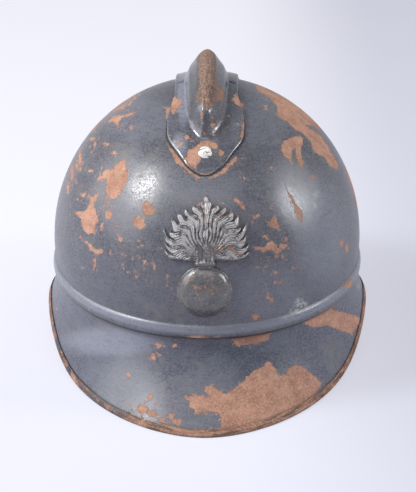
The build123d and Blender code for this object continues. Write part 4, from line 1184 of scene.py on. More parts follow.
def make_neck_guard(finish):
    """The rear brim, whose stepped ends pass behind the visor's."""
    gap, lap, near = (lap_angle(x) for x in (SIDE_GAP, LAP_LENGTH, 2 * JOGGLE_LENGTH))
    start = np.concatenate([np.linspace(-lap, gap, 8), np.linspace(gap, near, 12)[1:]])
    turns = np.concatenate([start, np.linspace(near, math.pi - near, 290)[1:-1], math.pi - start[::-1]])

    def keep(turns, runs):
        middle = (turns[:-1] + turns[1:]) / 2
        past = np.minimum(middle, math.pi - middle)[:, None] < gap
        low = ((runs[:-1] + runs[1:]) / 2)[None, :] > 1 + JOGGLE_ENDS[0]
        return ~(past & low)

    guard = brim_sheet("neck_guard_sheet", turns, joggle, keep)
    photo_marks(guard)
    brim_shade_and_wear(guard)
    dress(guard, finish, "helmet", ["neck_guard"])


def brim_shade_and_wear(made):
    """Painted shade in the creases under the bead, beside the binding and at the side seam, and a little wear
    under the bead.
    """
    local = local_points(made)
    x, y, z = local.T
    drop = np.abs(BEAD_FOOT - z)
    inset = np.linalg.norm(local - brim_point(np.arctan2(y / STRETCH, x), 2 + 0 * x), axis=1)
    beside = 1 - np.abs(inset - BINDING_WIDTH - 0.25 * MM) / (0.75 * MM)
    under = np.maximum(0.5 * (1 - drop / (3.0 * MM)), 1.3 - np.abs(y) / MM)
    rusted = smooth_step((x / BRIM_WIDTH + 0.02) * 6) * (y < 0)
    # Painted shade beside the binding, under the bead and in the side seam, and painted contact shade at the
    # bead's foot
    store(made, "crease", np.clip(np.maximum(beside * 1.6 * (1 - 0.65 * rusted), under), 0, 0.9))
    store(made, "contact_shade", np.clip(3.6 - drop / MM, 0, 3))
    store(made, "edge", np.clip(1 - drop / (6 * MM), 0, 1) * 0.35)


def binding_section():
    """Outline of the folded strip, out along the sheet and square to it."""
    inner = SHEET / 2 + BINDING_GAP
    soft = BINDING_SHEET / 4
    nose = [(BINDING_RADIUS * math.cos(t), BINDING_RADIUS * math.sin(t)) for t in np.linspace(-1.5, 1.5, 11)]
    leg = [
        (-BINDING_WIDTH / 2, BINDING_RADIUS),
        (-BINDING_WIDTH + soft, BINDING_RADIUS),
        (-BINDING_WIDTH, BINDING_RADIUS - soft),
        (-BINDING_WIDTH, inner + soft),
        (-BINDING_WIDTH + soft, inner),
        (BINDING_GAP, inner),
    ]
    return nose + leg + [(x, -y) for x, y in leg[::-1]]


def make_binding(name, start, end, node, finish):
    """Folded strip round part of the edge, hammered a little uneven and worn flat underneath."""
    turns = np.linspace(start, end, 360)
    points = brim_point(turns, 2 + 0 * turns)
    out = unit(points - brim_point(turns, 2 - BINDING_STEP + 0 * turns))
    up = np.cross(unit(np.gradient(points, axis=0)), out)
    up *= np.sign(up[:, 2:])
    width = 1 + lumps(points, BINDING_LUMPS)
    made = tidy(sweep(name, points, out * width[:, None], up, binding_section()))
    places, _ = points_of(made)
    places[:, 2] = np.maximum(places[:, 2], 0)
    move(made, places)
    photo_marks(made)
    side = places[:, 0] / (BRIM_WIDTH / 2)
    front = places[:, 1] < 0
    depth = np.where(front, np.clip((side + 0.4) * 9, -1.2, 2.4), -1.0) + lumps(places, EDGE_RUST_LUMPS)
    local = places - MIDDLE
    turn = np.arctan2(local[:, 1] / STRETCH, local[:, 0])
    rim = brim_point(turn, 2 + 0 * turn)
    inset = np.hypot(rim[:, 0], rim[:, 1]) - np.hypot(local[:, 0], local[:, 1])
    outer = smooth_step(1.2 - inset / (1.1 * MM))
    leg = np.clip(1 - np.abs(inset - BINDING_WIDTH * 0.93) / (0.5 * MM), 0, 1)
    # Painted shade on the lower side of the folded nose
    low = smooth_step((rim[:, 2] - local[:, 2]) / (1.1 * MM) + 0.15)
    for field, values in (
        ("rust", depth + 1.3 * outer * front),
        ("along", turn * BRIM_WIDTH / 2),
        ("level", inset),
        ("edge", 0.25 + 0.5 * leg),
        ("dull", np.clip(0.45 + lumps(places, EDGE_DULL_LUMPS), 0, 1)),
        ("crease", 0.62 * low),
    ):
        store(made, field, values)
    dress(made, finish, "helmet", [node], 50)


# Comb

def ellipsoid_height(x, y, wide, long, rise):
    """Height of an ellipsoid over the skull's middle."""
    return rise * np.sqrt(np.maximum(1 - (x / wide) ** 2 - (y / long) ** 2, 1e-6))


def bed_height(x, y):
    """Top of the comb's raised bed."""
    wide, long, rise = COMB_BED
    return ellipsoid_height(x, y, wide / 2, long / 2, rise)


def skull_height(x, y, grow):
    """Height of the skull's outside, grown by a distance."""
    return ellipsoid_height(x, y, SKULL_WIDTH / 2 + grow, SKULL_LENGTH / 2 + grow, SKULL_RISE + grow)


def plan_width(y):
    """Half width of the comb seen from above."""
    front, rear = ([np.array(v) * MM for v in zip(*plan)] for plan in (COMB_PLAN, COMB_REAR_PLAN))
    spread = np.linspace(-COMB_SOFTNESS, COMB_SOFTNESS, 15)
    width = 0
    for s in spread:
        place = np.abs(y + s)
        width = width + np.where(y > 0, np.interp(place, *rear), np.interp(place, *front)) / len(spread)
    end = np.clip((COMB_REACH - np.abs(y)) / (7 * MM), 0, 1)
    return width * np.sqrt(1 - (1 - end) ** 2)


def comb_rim(count):
    """Places along both sides of the comb's outline."""
    y = np.linspace(-COMB_REACH, COMB_REACH, count)
    return np.concatenate([np.stack([side * plan_width(y), y], axis=1) for side in (-1, 1)])


def crest_height(x, y):
    """Height of the crest over the bed."""
    share = np.abs(y) / CREST_NOSE
    half = CREST_FOOT * np.interp(share, CREST_STATIONS, CREST_WIDTHS)
    bed = bed_height(0, y)
    ridge = CREST_RISE * np.sqrt(1 - (2 * y / CREST_LENGTH) ** 2)
    top = (ridge - bed) * np.interp(share, CREST_STATIONS, CREST_HEIGHTS)
    across, up = zip(*CREST_SHOULDER)
    level = np.interp(np.abs(x) / half, across, up)
    domed = np.sqrt(np.maximum(1 - (x / half) ** 2, 0))
    level = level + (domed - level) * smooth_step((share - 0.72) / 0.2)
    return np.where(share < 1, top * level, 0)


def blur(field, rounds):
    """Softens a grid of heights."""
    for _ in range(rounds):
        middle = field[1:-1, 1:-1]
        ring = field[:-2, 1:-1] + field[2:, 1:-1] + field[1:-1, :-2] + field[1:-1, 2:]
        field[1:-1, 1:-1] = middle / 2 + ring / 8
    return field


def edge_distance(x, y, outline):
    """Distance to the comb's outline."""
    nearest = np.full(x.shape, np.inf)
    for px, py in outline:
        nearest = np.minimum(nearest, (x - px) ** 2 + (y - py) ** 2)
    return np.sqrt(nearest)


def comb_surface():
    """The comb's outside as a grid, with its rim turned down to the skull."""
    stations = COMB_REACH * np.sin(np.linspace(-1, 1, 330) * math.pi / 2)
    y, share = np.meshgrid(stations, np.linspace(-1, 1, 131), indexing="ij")
    x = share * plan_width(y)
    bed = smooth_max(bed_height(x, y), skull_height(x, y, COMB_SHEET + SEAT_GAP), BED_BLEND) - BED_SINK
    crest = blur(crest_height(x, y), CREST_FILLET)
    nose = blur(crest.copy(), NOSE_FILLET)
    crest = crest + (nose - crest) * smooth_step((np.abs(y) - NOSE_START) / NOSE_BLEND)
    near = np.clip(COMB_EDGE_RADIUS - edge_distance(x, y, comb_rim(500)), 0, COMB_EDGE_RADIUS)
    drop = COMB_EDGE_RADIUS - np.sqrt(COMB_EDGE_RADIUS**2 - near**2)
    raised = bed - skull_height(x, y, SEAT_GAP)
    grid = stack(x, y, bed + crest - np.minimum(drop, raised * 0.8) + crest_dints(x, y, crest))
    sides = grid[:, [0, -1]]
    feet = stack(sides[..., 0], sides[..., 1], skull_height(sides[..., 0], sides[..., 1], SEAT_GAP))
    middle = (sides + feet) / 2
    left, right = (np.stack([feet[:, k], middle[:, k]], axis=1) for k in (0, 1))
    return np.concatenate([left, grid, right[:, ::-1]], axis=1)


def crest_dints(x, y, crest):
    """Rough rust on the ridge and the pinched seam at the noses."""
    high = smooth_step((crest - 9.5 * MM) / (3 * MM))
    rough = lumps(stack(x, y, crest), *CREST_LUMPS) - CREST_WEAR
    seam = np.exp(-((x / SEAM_WIDTH) ** 2)) * smooth_step((np.abs(y) - 42 * MM) / (7 * MM))
    return rough * high - seam * smooth_step(crest / (2 * MM)) * SEAM_DEPTH


def make_comb(finish):
    """The hollow pressing over the crown."""
    comb = thicken(tidy(grid_object("comb_pressing", comb_surface()), MIDDLE), COMB_SHEET)
    photo_marks(comb, COMB_PATCHES_PX, COMB_SPOTS_PX)
    points, normals = points_of(comb)
    x, y, z = (points - MIDDLE).T
    high = z - bed_height(x, y)
    inside = (plan_width(y) - np.abs(x)) / MM
    rim = 1 - np.clip(inside / 2.2, 0, 1)
    ridge = smooth_step((high - 8 * MM) / (5 * MM))
    store(comb, "edge", np.clip(ridge * 0.62 + rim * 0.5, 0, 0.8))
    store(comb, "dull", smooth_step((high - 5 * MM) / (6 * MM)))
    # Painted shade: a dark line round the rim's foot, on the crest's steep walls and along the noses' seam
    wall = (inside < 0.15) & (z < skull_height(x, y, SEAT_GAP) + 1.6 * MM)
    seam = np.clip(1 - np.abs(x) / (1.3 * MM), 0, 1) * smooth_step((np.abs(y) - 44 * MM) / (5 * MM))
    steep = smooth_step((np.abs(normals[:, 0]) - 0.45) / 0.3) * smooth_step(high / (1.5 * MM))
    steep = steep * (np.abs(y) < 46 * MM)
    flank_shade = np.maximum(0.42 * steep, 0.3 * seam * smooth_step(high / (2 * MM)))
    store(comb, "crease", np.maximum(0.9 * wall, flank_shade))
    dress(comb, finish, "helmet", ["comb"])


def rivet_profile(head, height, grip):
    """Section of a dome head, a shank and an upset tail."""
    radius = (head**2 / 4 + height**2) / (2 * height)
    top = math.asin(head / 2 / radius)
    dome = [(radius * math.sin(t), height - radius + radius * math.cos(t)) for t in np.linspace(0, top, 16)]
    tail_foot = -grip - RIVET_TAIL_HEIGHT
    tail = [
        (RIVET_SHANK / 2, 0),
        (RIVET_SHANK / 2, -grip),
        (RIVET_TAIL / 2, -grip - RIVET_TAIL_HEIGHT / 3),
        (RIVET_TAIL / 2 * 0.9, tail_foot + 0.15 * MM),
        (RIVET_TAIL / 2 * 0.6, tail_foot),
        (0, tail_foot),
    ]
    return np.array(dome + tail)


def comb_seat(x, y):
    """Place and outward direction on the comb's outside, and the grip down through the skull."""
    grow = COMB_SHEET + SEAT_GAP
    z = skull_height(x, y, grow)
    axes = (SKULL_WIDTH / 2 + grow, SKULL_LENGTH / 2 + grow, SKULL_RISE + grow)
    if bed_height(x, y) > z:
        z = bed_height(x, y)
        axes = (COMB_BED[0] / 2, COMB_BED[1] / 2, COMB_BED[2])
    out = Vector((x / axes[0] ** 2, y / axes[1] ** 2, z / axes[2] ** 2)).normalized()
    return Vector((x, y, z)), out, float((z - skull_height(x, y, -SHEET)) * out.z)


def make_rivets(name, places, head, height, node, finish):
    """Hammered rivets on the comb."""
    parts = []
    for number, (x, y) in enumerate(places):
        seat, out, grip = comb_seat(x, y)
        grid = lathe(rivet_profile(head, height, grip + RIVET_PLAY), 48, 1)
        ragged = 1 + lumps(grid, (2.0 * MM, 50 + number, 0.16))[..., None] * (grid[..., 2:] > -0.01 * MM)
        grid[..., :2] *= np.minimum(ragged, 1.03)
        nick = np.maximum(lumps(grid, (1.2 * MM, 20 + number, 1)) - 0.12, 0) * 1.3 * MM
        nick = nick + np.abs(lumps(grid, (4 * MM, 30 + number, 0.2 * MM)))
        grid[..., 2] -= np.minimum(nick, 0.6 * grid[..., 2]) * smooth_step(grid[..., 2] / (0.4 * MM))
        turn = np.array(out.to_track_quat("Z", "Y").to_matrix())
        parts.append(tidy(grid_object("rivet", grid @ turn.T + np.array(seat + out * SEAT_GAP), ring=True)))
    made = join(name, parts)
    photo_marks(made)
    dress(made, finish, "helmet", [node], 50)


# Badge, seen from the front, round the foot of its flames

FLAME_ROOT = (1.0 * MM, 30.2 * MM)
FLAME_ANGLES = (0, 22, 38, 50, 65, 77, 89, 97, 118)
FLAME_REACHES = (28.6, 27.9, 27.0, 27.2, 26.9, 26.3, 25.6, 23.0, 8.0)
FLAME_PITCHES = (11.4, 10.0)
FLAME_SWAY = 5.2
FLAME_WAVE = 15 * MM
FLAME_UNDERSIDE = 27.4 * MM
FLAME_STATIONS = (0, 5, 9, 16, 23, 29)
FLAME_HEIGHTS = (1.5, 1.7, 2.5, 3.0, 2.5, 1.8)
COLLAR_HALF_WIDTH = 6.3 * MM
COLLAR_HALF_HEIGHT = 1.5 * MM
COLLAR_CENTRE = (0.3 * MM, 25.8 * MM)
COLLAR_PROUD = 2.9 * MM
STEM_HALF_WIDTH = 5.2 * MM
STEM_HALF_LENGTH = 7 * MM
STEM_MIDDLE = 32 * MM
NECK_MIDDLE = 23.6 * MM
NECK_PROUD = 2.2 * MM


def ridges(phase, sharpness):
    """Rounded ridges with narrow grooves between them, from 0 to 1."""
    return np.sin(math.pi * (phase % 1)) ** sharpness


def flame_relief(x, z):
    """Height of the fan of wavy strands, and how high on its strand each place is."""
    across, up = x - FLAME_ROOT[0], z - FLAME_ROOT[1]
    reach = np.hypot(across, up)
    points = stack(x, 0, z)
    angle = np.abs(np.degrees(np.arctan2(across, up))) + lumps(points, *FLAME_ANGLE_LUMPS)
    bend = FLAME_SWAY * smooth_step(reach / (7 * MM)) * np.sin(2 * math.pi * reach / FLAME_WAVE + angle / 26)
    pitch = np.where(across < 0, *FLAME_PITCHES)
    phase = (angle + bend * smooth_step(angle / 12)) / pitch + 0.5
    strand = np.floor(phase)
    main = ridges(phase, 0.75)
    fine = ridges(phase * 3 + 0.21 * strand + lumps(points, FLAME_FINE_LUMPS), 0.9)
    length = np.interp(angle, FLAME_ANGLES, FLAME_REACHES) * MM
    length = length * (0.84 + 0.16 * main**1.3) * (1 - 0.06 * (strand % 2) - 0.04 * (strand % 3))
    edge = np.minimum(length - reach, (z - FLAME_UNDERSIDE - 0.5 * MM * np.sin(x / (3.4 * MM))) * 1.4)
    body = np.interp(reach / MM, FLAME_STATIONS, FLAME_HEIGHTS) * MM
    inside = body * (0.50 + 0.27 * main + 0.23 * fine) * np.clip(edge / (1.5 * MM), 0, 1) ** 0.55
    return np.where(edge > 0, inside, edge), 0.5 * main + 0.5 * fine


def badge_relief(x, z):
    """Height of the badge off the skull at places in front view."""
    flames, _ = flame_relief(x, z)
    across = np.abs(x - COLLAR_CENTRE[0])
    stem = (0.9 + 0.7 * ridges(across / (2.1 * MM) + 0.5, 0.8)) * MM
    stem = np.where(np.abs(z - STEM_MIDDLE) < STEM_HALF_LENGTH, stem, -BADGE_BURY)
    stem = stem - np.maximum(across - STEM_HALF_WIDTH, 0) * 4
    level = np.abs(z - COLLAR_CENTRE[1]) / COLLAR_HALF_HEIGHT
    round_ends = np.maximum(1 - (across / COLLAR_HALF_WIDTH) ** 5, -1)
    collar = COLLAR_PROUD * np.sqrt(np.maximum(1 - level**2, 0)) * round_ends
    neck = NECK_PROUD * (1 - (across / STEM_HALF_WIDTH) ** 4 - (np.abs(z - NECK_MIDDLE) / (3 * MM)) ** 4)
    relief = np.maximum.reduce([flames, stem, neck, np.where(level < 1, collar, -1 * MM)])
    return badge_ball(x, z, relief)


def badge_ball(x, z, relief):
    """The bare domed ball inside a narrow flat rim, a little beaten about."""
    away = np.hypot(x - BALL_PLACE[0], z - BALL_PLACE[1]) / (BALL_WIDTH / 2 - BALL_RIM)
    beaten = 1 + lumps(stack(x, 0, z), *BALL_LUMPS)
    dome = BALL_HEIGHT * np.sign(1 - away) * np.abs(1 - away**2) ** 0.62 * beaten
    rim = BALL_RIM_HEIGHT * (1 - (np.maximum(away, 1) - 1) ** 2 / 0.07**2)
    return np.maximum.reduce([relief, dome, rim])


def badge_wear(made, axes):
    """Rubbed high places, which are partly a painted highlight, painted shade in the hollows, on the ball's
    low and lower parts and under its collar, and the ball's rusty rim and stains.
    """
    local = local_points(made)
    x, _, z = local.T
    proud = np.clip((np.linalg.norm(local / axes, axis=1) - 1) * axes[1] / (2.4 * MM), 0, 1)
    in_flames = z > FLAME_UNDERSIDE
    away = np.hypot(x - BALL_PLACE[0], z - BALL_PLACE[1]) / (BALL_WIDTH / 2)
    rusty_rim = ~in_flames & (np.abs(away - 0.985) < 0.03) & (z < BALL_PLACE[1] + 6 * MM)
    flecks = np.where(rusty_rim, BADGE_RIM_PX, BADGE_FLECKS_PX)
    store(made, "rust", np.maximum(stored(made, "rust"), flecks))
    _, high_places = flame_relief(x, z)
    # Lighter on the strands' high places: rubbed wear, and partly a painted highlight
    store(made, "edge", np.where(in_flames, proud * (0.20 + 0.42 * high_places), 0.18 * proud))
    # Painted shade in the grooves between the strands
    hollow_shade = np.clip(0.8 - high_places * 1.7, 0, 0.75)
    # Painted shade on the ball: darker where it is low, towards its bottom and in a line under the collar;
    # the lumps are stains
    low = np.clip((BALL_PLACE[1] - z) / (BALL_WIDTH / 2), 0, 1)
    neck = (np.abs(x - COLLAR_CENTRE[0]) < COLLAR_HALF_WIDTH) * (1 - np.abs(z - 24 * MM) / (0.7 * MM))
    ball = np.maximum.reduce([
        np.where(rusty_rim, 0, np.clip((0.34 - proud) * 5, 0, 0.85)),
        0.6 * smooth_step(low * 1.6 - 0.5),
        np.clip(0.16 + lumps(local, *BALL_STAIN_LUMPS), 0, 0.6),
        0.9 * np.clip(neck, 0, 1),
    ])
    store(made, "crease", np.where(in_flames, hollow_shade, ball))


def make_badge(finish):
    """The pressed flaming ball, on the skull's front."""
    across, up = (np.arange(low, high, BADGE_STEP) for low, high in BADGE_SPANS)
    x, z = np.meshgrid(across, up, indexing="ij")
    relief = badge_relief(x, z)
    worn = lumps(stack(x, 0, z), *BADGE_LUMPS)
    relief = relief + worn * smooth_step(relief / MM) * (z > FLAME_UNDERSIDE)
    axes = np.array((SKULL_WIDTH / 2, SKULL_LENGTH / 2, SKULL_RISE))
    y = -axes[1] * np.sqrt(1 - (x / axes[0]) ** 2 - (z / axes[2]) ** 2)
    base = stack(x, y, z)
    high = relief > -BADGE_BURY
    keep = high[:-1, :-1] | high[1:, :-1] | high[:-1, 1:] | high[1:, 1:]
    surface = base + unit(base / axes**2) * np.maximum(relief, -BADGE_BURY)[..., None]
    made = thicken(tidy(grid_object("badge_pressing", surface, keep=keep), MIDDLE), BADGE_SHEET)
    photo_marks(made)
    badge_wear(made, axes)
    dress(made, finish, "helmet", ["badge"], 60)


# Liner

SPACER_OUTER = WALL - CLIP_SHEET - SOFT_GAP
SPACER_INNER = SPACER_OUTER - WAVE_DEPTH
CLOTH_OUTER = SPACER_INNER - SOFT_GAP
LEATHER_OUTER = CLOTH_OUTER - CLOTH - SOFT_GAP
LEATHER_INNER = LEATHER_OUTER - LEATHER
BAND_FOOT = CLIP_SHEET + SOFT_GAP - CLIP_DROP


def make_liner(finish, thread):
    """Leather headband with seven tongues, with a lace hole near each tip."""
    lean = math.acos(LINER_MOUTH / 2 / LEATHER_OUTER)
    foot_lean = math.acos((GAP_FOOT_PLACE + GAP_FOOT_WIDTH / 2) / LEATHER_OUTER)
    angles = np.concatenate([np.linspace(0, foot_lean, 22), np.linspace(foot_lean, lean, 60)[1:]])
    band = [(LEATHER_OUTER, z) for z in np.linspace(BAND_FOOT, 0, 10)[:-1]]
    profile = np.array(band + [(LEATHER_OUTER * math.cos(t), LINER_RISE * math.sin(t)) for t in angles])
    share = np.linspace(-1, 1, 26)[:, None]
    pitch = 2 * math.pi / TONGUES
    middles = [-math.pi / 2 + pitch * number for number in range(TONGUES)]
    slope = (GAP_MOUTH_WIDTH - GAP_FOOT_WIDTH) / 2 / (GAP_FOOT_PLACE - LINER_MOUTH / 4)
    parts = []
    for number, middle in enumerate(middles):
        radius, z = (np.broadcast_to(values, (26, len(profile))) for values in profile.T)
        past = np.maximum(GAP_FOOT_PLACE + GAP_FOOT_WIDTH / 2 - radius, 0)
        half_gap = np.minimum(np.sqrt(past * GAP_FOOT_WIDTH), GAP_FOOT_WIDTH / 2) + past * slope
        tip = smooth_step((34 * MM - radius) / (14 * MM))
        half = (pitch / 2 - half_gap / radius) * np.sqrt(1 - 0.55 * tip**3)
        turn = middle + share * half
        droop = tip * (1.5 + 0.8 * math.sin(number * 2.3)) * MM + tip * share**2 * 1.2 * MM
        wave = lumps(stretched(radius, turn, z), LEATHER_LUMPS)
        parts.append(grid_object("tongue", stretched(radius - 0.4 * MM + wave, turn, z - droop)))
    liner = thicken(tidy(join("liner_leather_piece", parts), MIDDLE, TONGUE_JOIN), LEATHER)
    holes = []
    for middle in middles:
        x, y, _ = stretched(LACE_HOLE_PLACE, middle, 0)
        outline = [(x + a, y + b) for a, b in circle(LACE_HOLE / 2, 24)]
        holes.append(prism("hole", outline, LINER_RISE * 0.7, LINER_RISE * 1.1))
    cut(liner, join("hole_cutter", holes))
    dress(liner, finish, "helmet", ["leather_liner"])
    make_liner_stitches(thread)


def stitch_row(name, starts, ends, outs):
    """Short threads that bow out of the leather."""
    parts = []
    section = circle(STITCH_THREAD / 2, 8)
    for start, end, out in zip(starts, ends, outs):
        side = np.cross(unit(end - start), out)
        shares = np.linspace(0, 1, 7)
        bow = (np.sin(math.pi * shares) * 0.45 - 0.1) * MM
        middles = start + (end - start) * shares[:, None] + out * bow[:, None]
        parts.append(sweep("stitch", middles, [side] * 7, [out] * 7, section))
    return tidy(join(name, parts))


def make_liner_stitches(thread):
    """A seam round the headband's foot, inside."""
    turns = np.linspace(0, 2 * math.pi, LINER_STITCHES, endpoint=False)
    reach = 0.62 * 2 * math.pi / LINER_STITCHES
    place = (LEATHER_INNER - STITCH_THREAD, BAND_FOOT + 2.6 * MM)
    starts, ends = (stretched(place[0], t, place[1]) for t in (turns, turns + reach))
    seam = stitch_row("liner_seam", starts, ends, -stack(np.cos(turns), np.sin(turns), 0))
    dress(seam, thread, "helmet", [])


def make_cloth(finish):
    """Woollen strip between the spacers and the leather."""
    turns = np.linspace(0, 2 * math.pi, 420, endpoint=False)
    heights = np.linspace(BAND_FOOT + 0.3 * MM, CLOTH_TOP - 0.3 * MM, 16)
    turn, z = np.meshgrid(turns, heights, indexing="ij")
    points = stretched(CLOTH_OUTER, turn, z)
    edge = np.abs(z - (BAND_FOOT + CLOTH_TOP) / 2) / (CLOTH_TOP - BAND_FOOT) * 2
    z = z + lumps(points, CLOTH_EDGE_LUMPS) * smooth_step((edge - 0.6) / 0.4)
    radius = CLOTH_OUTER - 0.1 * MM + lumps(points, CLOTH_LUMPS)
    cloth = tidy(grid_object("cloth_strip", stretched(radius, turn, z), ring=True), MIDDLE)
    thicken(cloth, CLOTH - 0.2 * MM)
    local = local_points(cloth)
    store(cloth, "turns", np.arctan2(local[:, 1] / STRETCH, local[:, 0]) * CLOTH_OUTER)
    dress(cloth, finish, "helmet", ["cloth_band"])
    ring = stretched(CLOTH_OUTER - CLOTH / 2, turns, 0)
    length = float(np.linalg.norm(np.roll(ring, -1, axis=0) - ring, axis=1).sum())


def make_spacer(name, turn, finish):
    """Corrugated aluminium strip, bent to the headband's curve."""
    shares = np.linspace(0, 1, WAVE_COUNT * 18 + 1)[:, None]
    swing = -np.cos(shares * WAVE_COUNT * 2 * math.pi)
    swing = np.sign(swing) * np.abs(swing) ** 0.75
    radius = (SPACER_INNER + SPACER_OUTER) / 2 + swing * (WAVE_DEPTH - WAVE_SHEET) / 2
    heights = np.linspace(SPACER_FOOT, SPACER_TOP, 7)
    grid = stretched(radius, turn - WAVE_ARC / 2 + WAVE_ARC * shares, heights)
    bend = lumps(grid, SPACER_LUMPS)
    grid[..., 0] += bend * math.cos(turn)
    grid[..., 1] += bend * math.sin(turn)
    made = thicken(tidy(grid_object(name + "_strip", grid), MIDDLE), WAVE_SHEET, 0)
    dress(made, finish, "helmet", [name])


# Strap

HANGER_MIDDLE = PIVOT_PLACE - HANGER_GAP - HANGER_SHEET / 2
BAR_REACH = HANGER_SLOT_START + HANGER_SLOT_LENGTH + HANGER_BAR / 2
LOOP_RADIUS = max(HANGER_SHEET, HANGER_BAR) / 2 + SOFT_GAP + STRAP_THICKNESS
STRAP_TILT = math.asin(
    (SKULL_HEIGHT - PIVOT_DROP - STRAP_REST_GAP) / math.hypot(STRAP_REACH, STRAP_WIDTH / 2)
) - math.atan(STRAP_WIDTH / 2 / STRAP_REACH)


def filleted(points, radius):
    """A line with round corners, as close points."""
    line = [Vector(points[0])]
    for before, corner, after in zip(points, points[1:], points[2:]):
        corner, back, ahead = Vector(corner), Vector(before) - Vector(corner), Vector(after) - Vector(corner)
        back.normalize()
        ahead.normalize()
        half = math.acos(max(-1, min(1, back.dot(ahead)))) / 2
        reach = radius / math.tan(half)
        middle = corner + (back + ahead).normalized() * radius / math.sin(half)
        start, end = corner + back * reach - middle, corner + ahead * reach - middle
        sweep_angle = start.angle_signed(end)
        for k in range(13):
            line.append(middle + start @ Matrix.Rotation(sweep_angle * k / 12, 2))
    return line + [Vector(points[-1])]


def strap_place(point, high):
    """From the strap's own plane down to where it lies."""
    x, y = point
    sin, cos = math.sin(-STRAP_TILT), math.cos(-STRAP_TILT)
    return np.array((x, y * cos - high * sin, y * sin + high * cos - PIVOT_DROP))


def strap_leg(side):
    """The loop's middle on a hanger, and the direction of the strap from there, in its plane."""
    foot = Vector((side * HANGER_MIDDLE, BAR_REACH))
    return foot, Vector((side * STRAP_BEND_PLACE, STRAP_BEND_REACH)) - foot


def strap_section():
    """Half width and thickness shares of the strap's section, with soft edges."""
    half, thick = STRAP_WIDTH / 2, STRAP_THICKNESS / 2
    soft = 0.55 * MM
    corners = []
    for sx, sy, start in ((1, 1, 0), (-1, 1, 90), (-1, -1, 180), (1, -1, 270)):
        for turn in (0, 30, 60, 90):
            angle = math.radians(start + turn)
            along, across = soft * math.cos(angle), soft * math.sin(angle)
            corners.append((sx * (half - soft) + along, sy * (thick - soft) + across))
        if sy == sx:
            corners.extend((-sx * f * half, sy * thick) for f in (-0.6, -0.2, 0.2, 0.6))
    return corners


def strap_line():
    """The strap's middle line in its own plane."""
    start = BAR_REACH + LOOP_RADIUS - STRAP_THICKNESS / 2
    right = [(HANGER_MIDDLE, start), (STRAP_BEND_PLACE, STRAP_BEND_REACH), (STRAP_BACK_PLACE, STRAP_REACH)]
    return filleted(right + [(-x, y) for x, y in reversed(right)], STRAP_BEND_RADIUS)


def band_along(name, line, thickness_share=1.0):
    """A leather band on its edge along a line in the strap's plane."""
    line = rounded_line([tuple(p) for p in line], 1.2 * MM, 0)
    tangent = unit(np.gradient(line, axis=0))
    origin = strap_place((0, 0), 0)
    up = strap_place((0, 0), 1) - origin
    outs = [strap_place((t[1], -t[0]), 0) - origin for t in tangent]
    section = [(a, b * thickness_share) for a, b in strap_section()]
    return tidy(sweep(name, [strap_place(p, 0) for p in line], [up] * len(line), outs, section))


def make_strap(finish, thread):
    """The leather strap, looped on the hangers and stitched."""
    parts = [band_along("belt", strap_line())]
    radius = LOOP_RADIUS - STRAP_THICKNESS / 2
    for side in (-1, 1):
        foot, ahead = strap_leg(side)
        start = math.atan2(ahead.y, ahead.x) + 0.5
        turns = [start + (2 * math.pi - 1.0) * k / 40 for k in range(41)]
        ring = [(foot.x + radius * math.cos(t), foot.y + radius * math.sin(t)) for t in turns]
        tail = tuple(foot + ahead.normalized() * (LOOP_RADIUS + LOOP_TAIL))
        parts.append(band_along("loop", [tail] + ring + [tail], 0.8))
    strap = join("strap_leather_piece", parts)
    origin = strap_place((0, 0), 0)
    up = strap_place((0, 0), 1) - origin
    store(strap, "across", np.abs((local_points(strap) - origin) @ up) / (STRAP_WIDTH / 2))
    dress(strap, finish, "strap", ["chin_strap"])
    make_strap_stitches(thread)


def make_strap_stitches(thread):
    """Two short seams where the loops are sewn."""
    starts, ends, outs = [], [], []
    origin = strap_place((0, 0), 0)
    for side in (-1, 1):
        foot, ahead = strap_leg(side)
        ahead.normalize()
        inward = Vector((ahead.y, -ahead.x))
        if inward.x * side > 0:
            inward = -inward
        base = foot + ahead * (LOOP_RADIUS + 0.9 * MM) + inward * (STRAP_THICKNESS / 2 + 0.25 * MM)
        for step in range(7):
            high = (-7.2 + 2.1 * step) * MM
            starts.append(strap_place(base, high))
            ends.append(strap_place(base, high + 1.5 * MM))
            outs.append(strap_place(inward, 0) - origin)
    dress(stitch_row("strap_seams", starts, ends, outs), thread, "strap", [])


def dress_nodes(names, material):
    """Better material on nodes whose shape is right."""
    for name in names:
        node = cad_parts[name]
        node.data.materials.clear()
        node.data.materials.append(material)


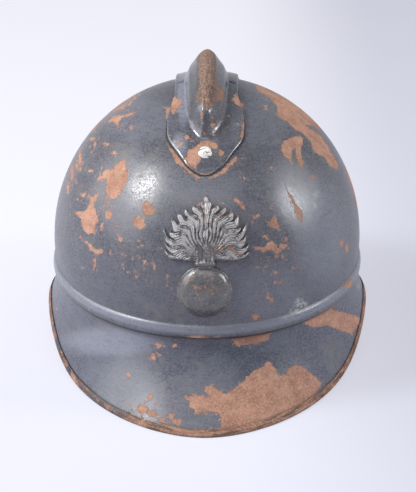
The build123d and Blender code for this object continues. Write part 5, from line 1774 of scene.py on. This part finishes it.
def make_all():
    """Every piece with its finish."""
    shell = painted_steel("shell_paint", SHELL_DARK, SHELL_PALE, (0.2, 0.2, 0.21))
    brim = painted_steel("brim_paint", BRIM_DARK, BRIM_PALE, (0.2, 0.2, 0.21))
    edge = painted_steel("edge_paint", EDGE_DARK, EDGE_PALE, (0.40, 0.25, 0.15), 1.2, 0.0, True, 0.4)
    comb = painted_steel("comb_paint", SHELL_DARK, SHELL_PALE, (0.30, 0.17, 0.115), 1.0, 0.11)
    badge = painted_steel("badge_paint", BADGE_DARK, BADGE_PALE, (0.44, 0.42, 0.42), 1.5, 0.09)
    bright = bare_metal("rivet_metal", *RIVET_METAL)
    dull = bare_metal("spacer_metal", *SPACER_METAL)
    steel = bare_metal("fitting_steel", *FITTING_STEEL)
    thread = wool("thread", (0.30, 0.25, 0.17), (0.50, 0.43, 0.31))
    make_skull(shell)
    make_visor(brim)
    make_neck_guard(brim)
    gap = lap_angle(SIDE_GAP)
    make_binding("visor_edge", math.pi + gap, 2 * math.pi - gap, "visor_binding", edge)
    make_binding("neck_guard_edge", gap, math.pi - gap, "neck_guard_binding", edge)
    make_comb(comb)
    ends = [(0, -RIVET_REACH), (0, RIVET_REACH)]
    sides = [(-SIDE_RIVET_PLACE, 0), (SIDE_RIVET_PLACE, 0)]
    make_rivets("end_rivets", ends, RIVET_HEAD, RIVET_HEAD_HEIGHT, "comb_end_rivets", bright)
    make_rivets("side_rivets", sides, SIDE_RIVET_HEAD, SIDE_RIVET_HEAD_HEIGHT, "comb_side_rivets", comb)
    make_badge(badge)
    make_liner(leather("liner_leather_finish", (0.050, 0.026, 0.013), (0.115, 0.060, 0.030)), thread)
    make_cloth(wool("cloth_finish", (0.085, 0.085, 0.09), (0.22, 0.21, 0.20)))
    for name, turn in (("front", -90), ("right", 0), ("rear", 90), ("left", 180)):
        make_spacer(name + "_spacer", math.radians(turn), dull)
    make_strap(leather("strap_leather_finish", (0.075, 0.038, 0.018), (0.17, 0.088, 0.042), 0.8), thread)
    fittings = ("strap_lug", "pivot_pin", "strap_hanger")
    sides = [f"{side}_{part}" for side in ("left", "right") for part in fittings]
    dress_nodes([*sides, "liner_clips", "strap_buckle"], steel)


make_camera()
make_lights()
make_floor()
make_all()
bpy.context.scene.view_settings.view_transform = "Standard"
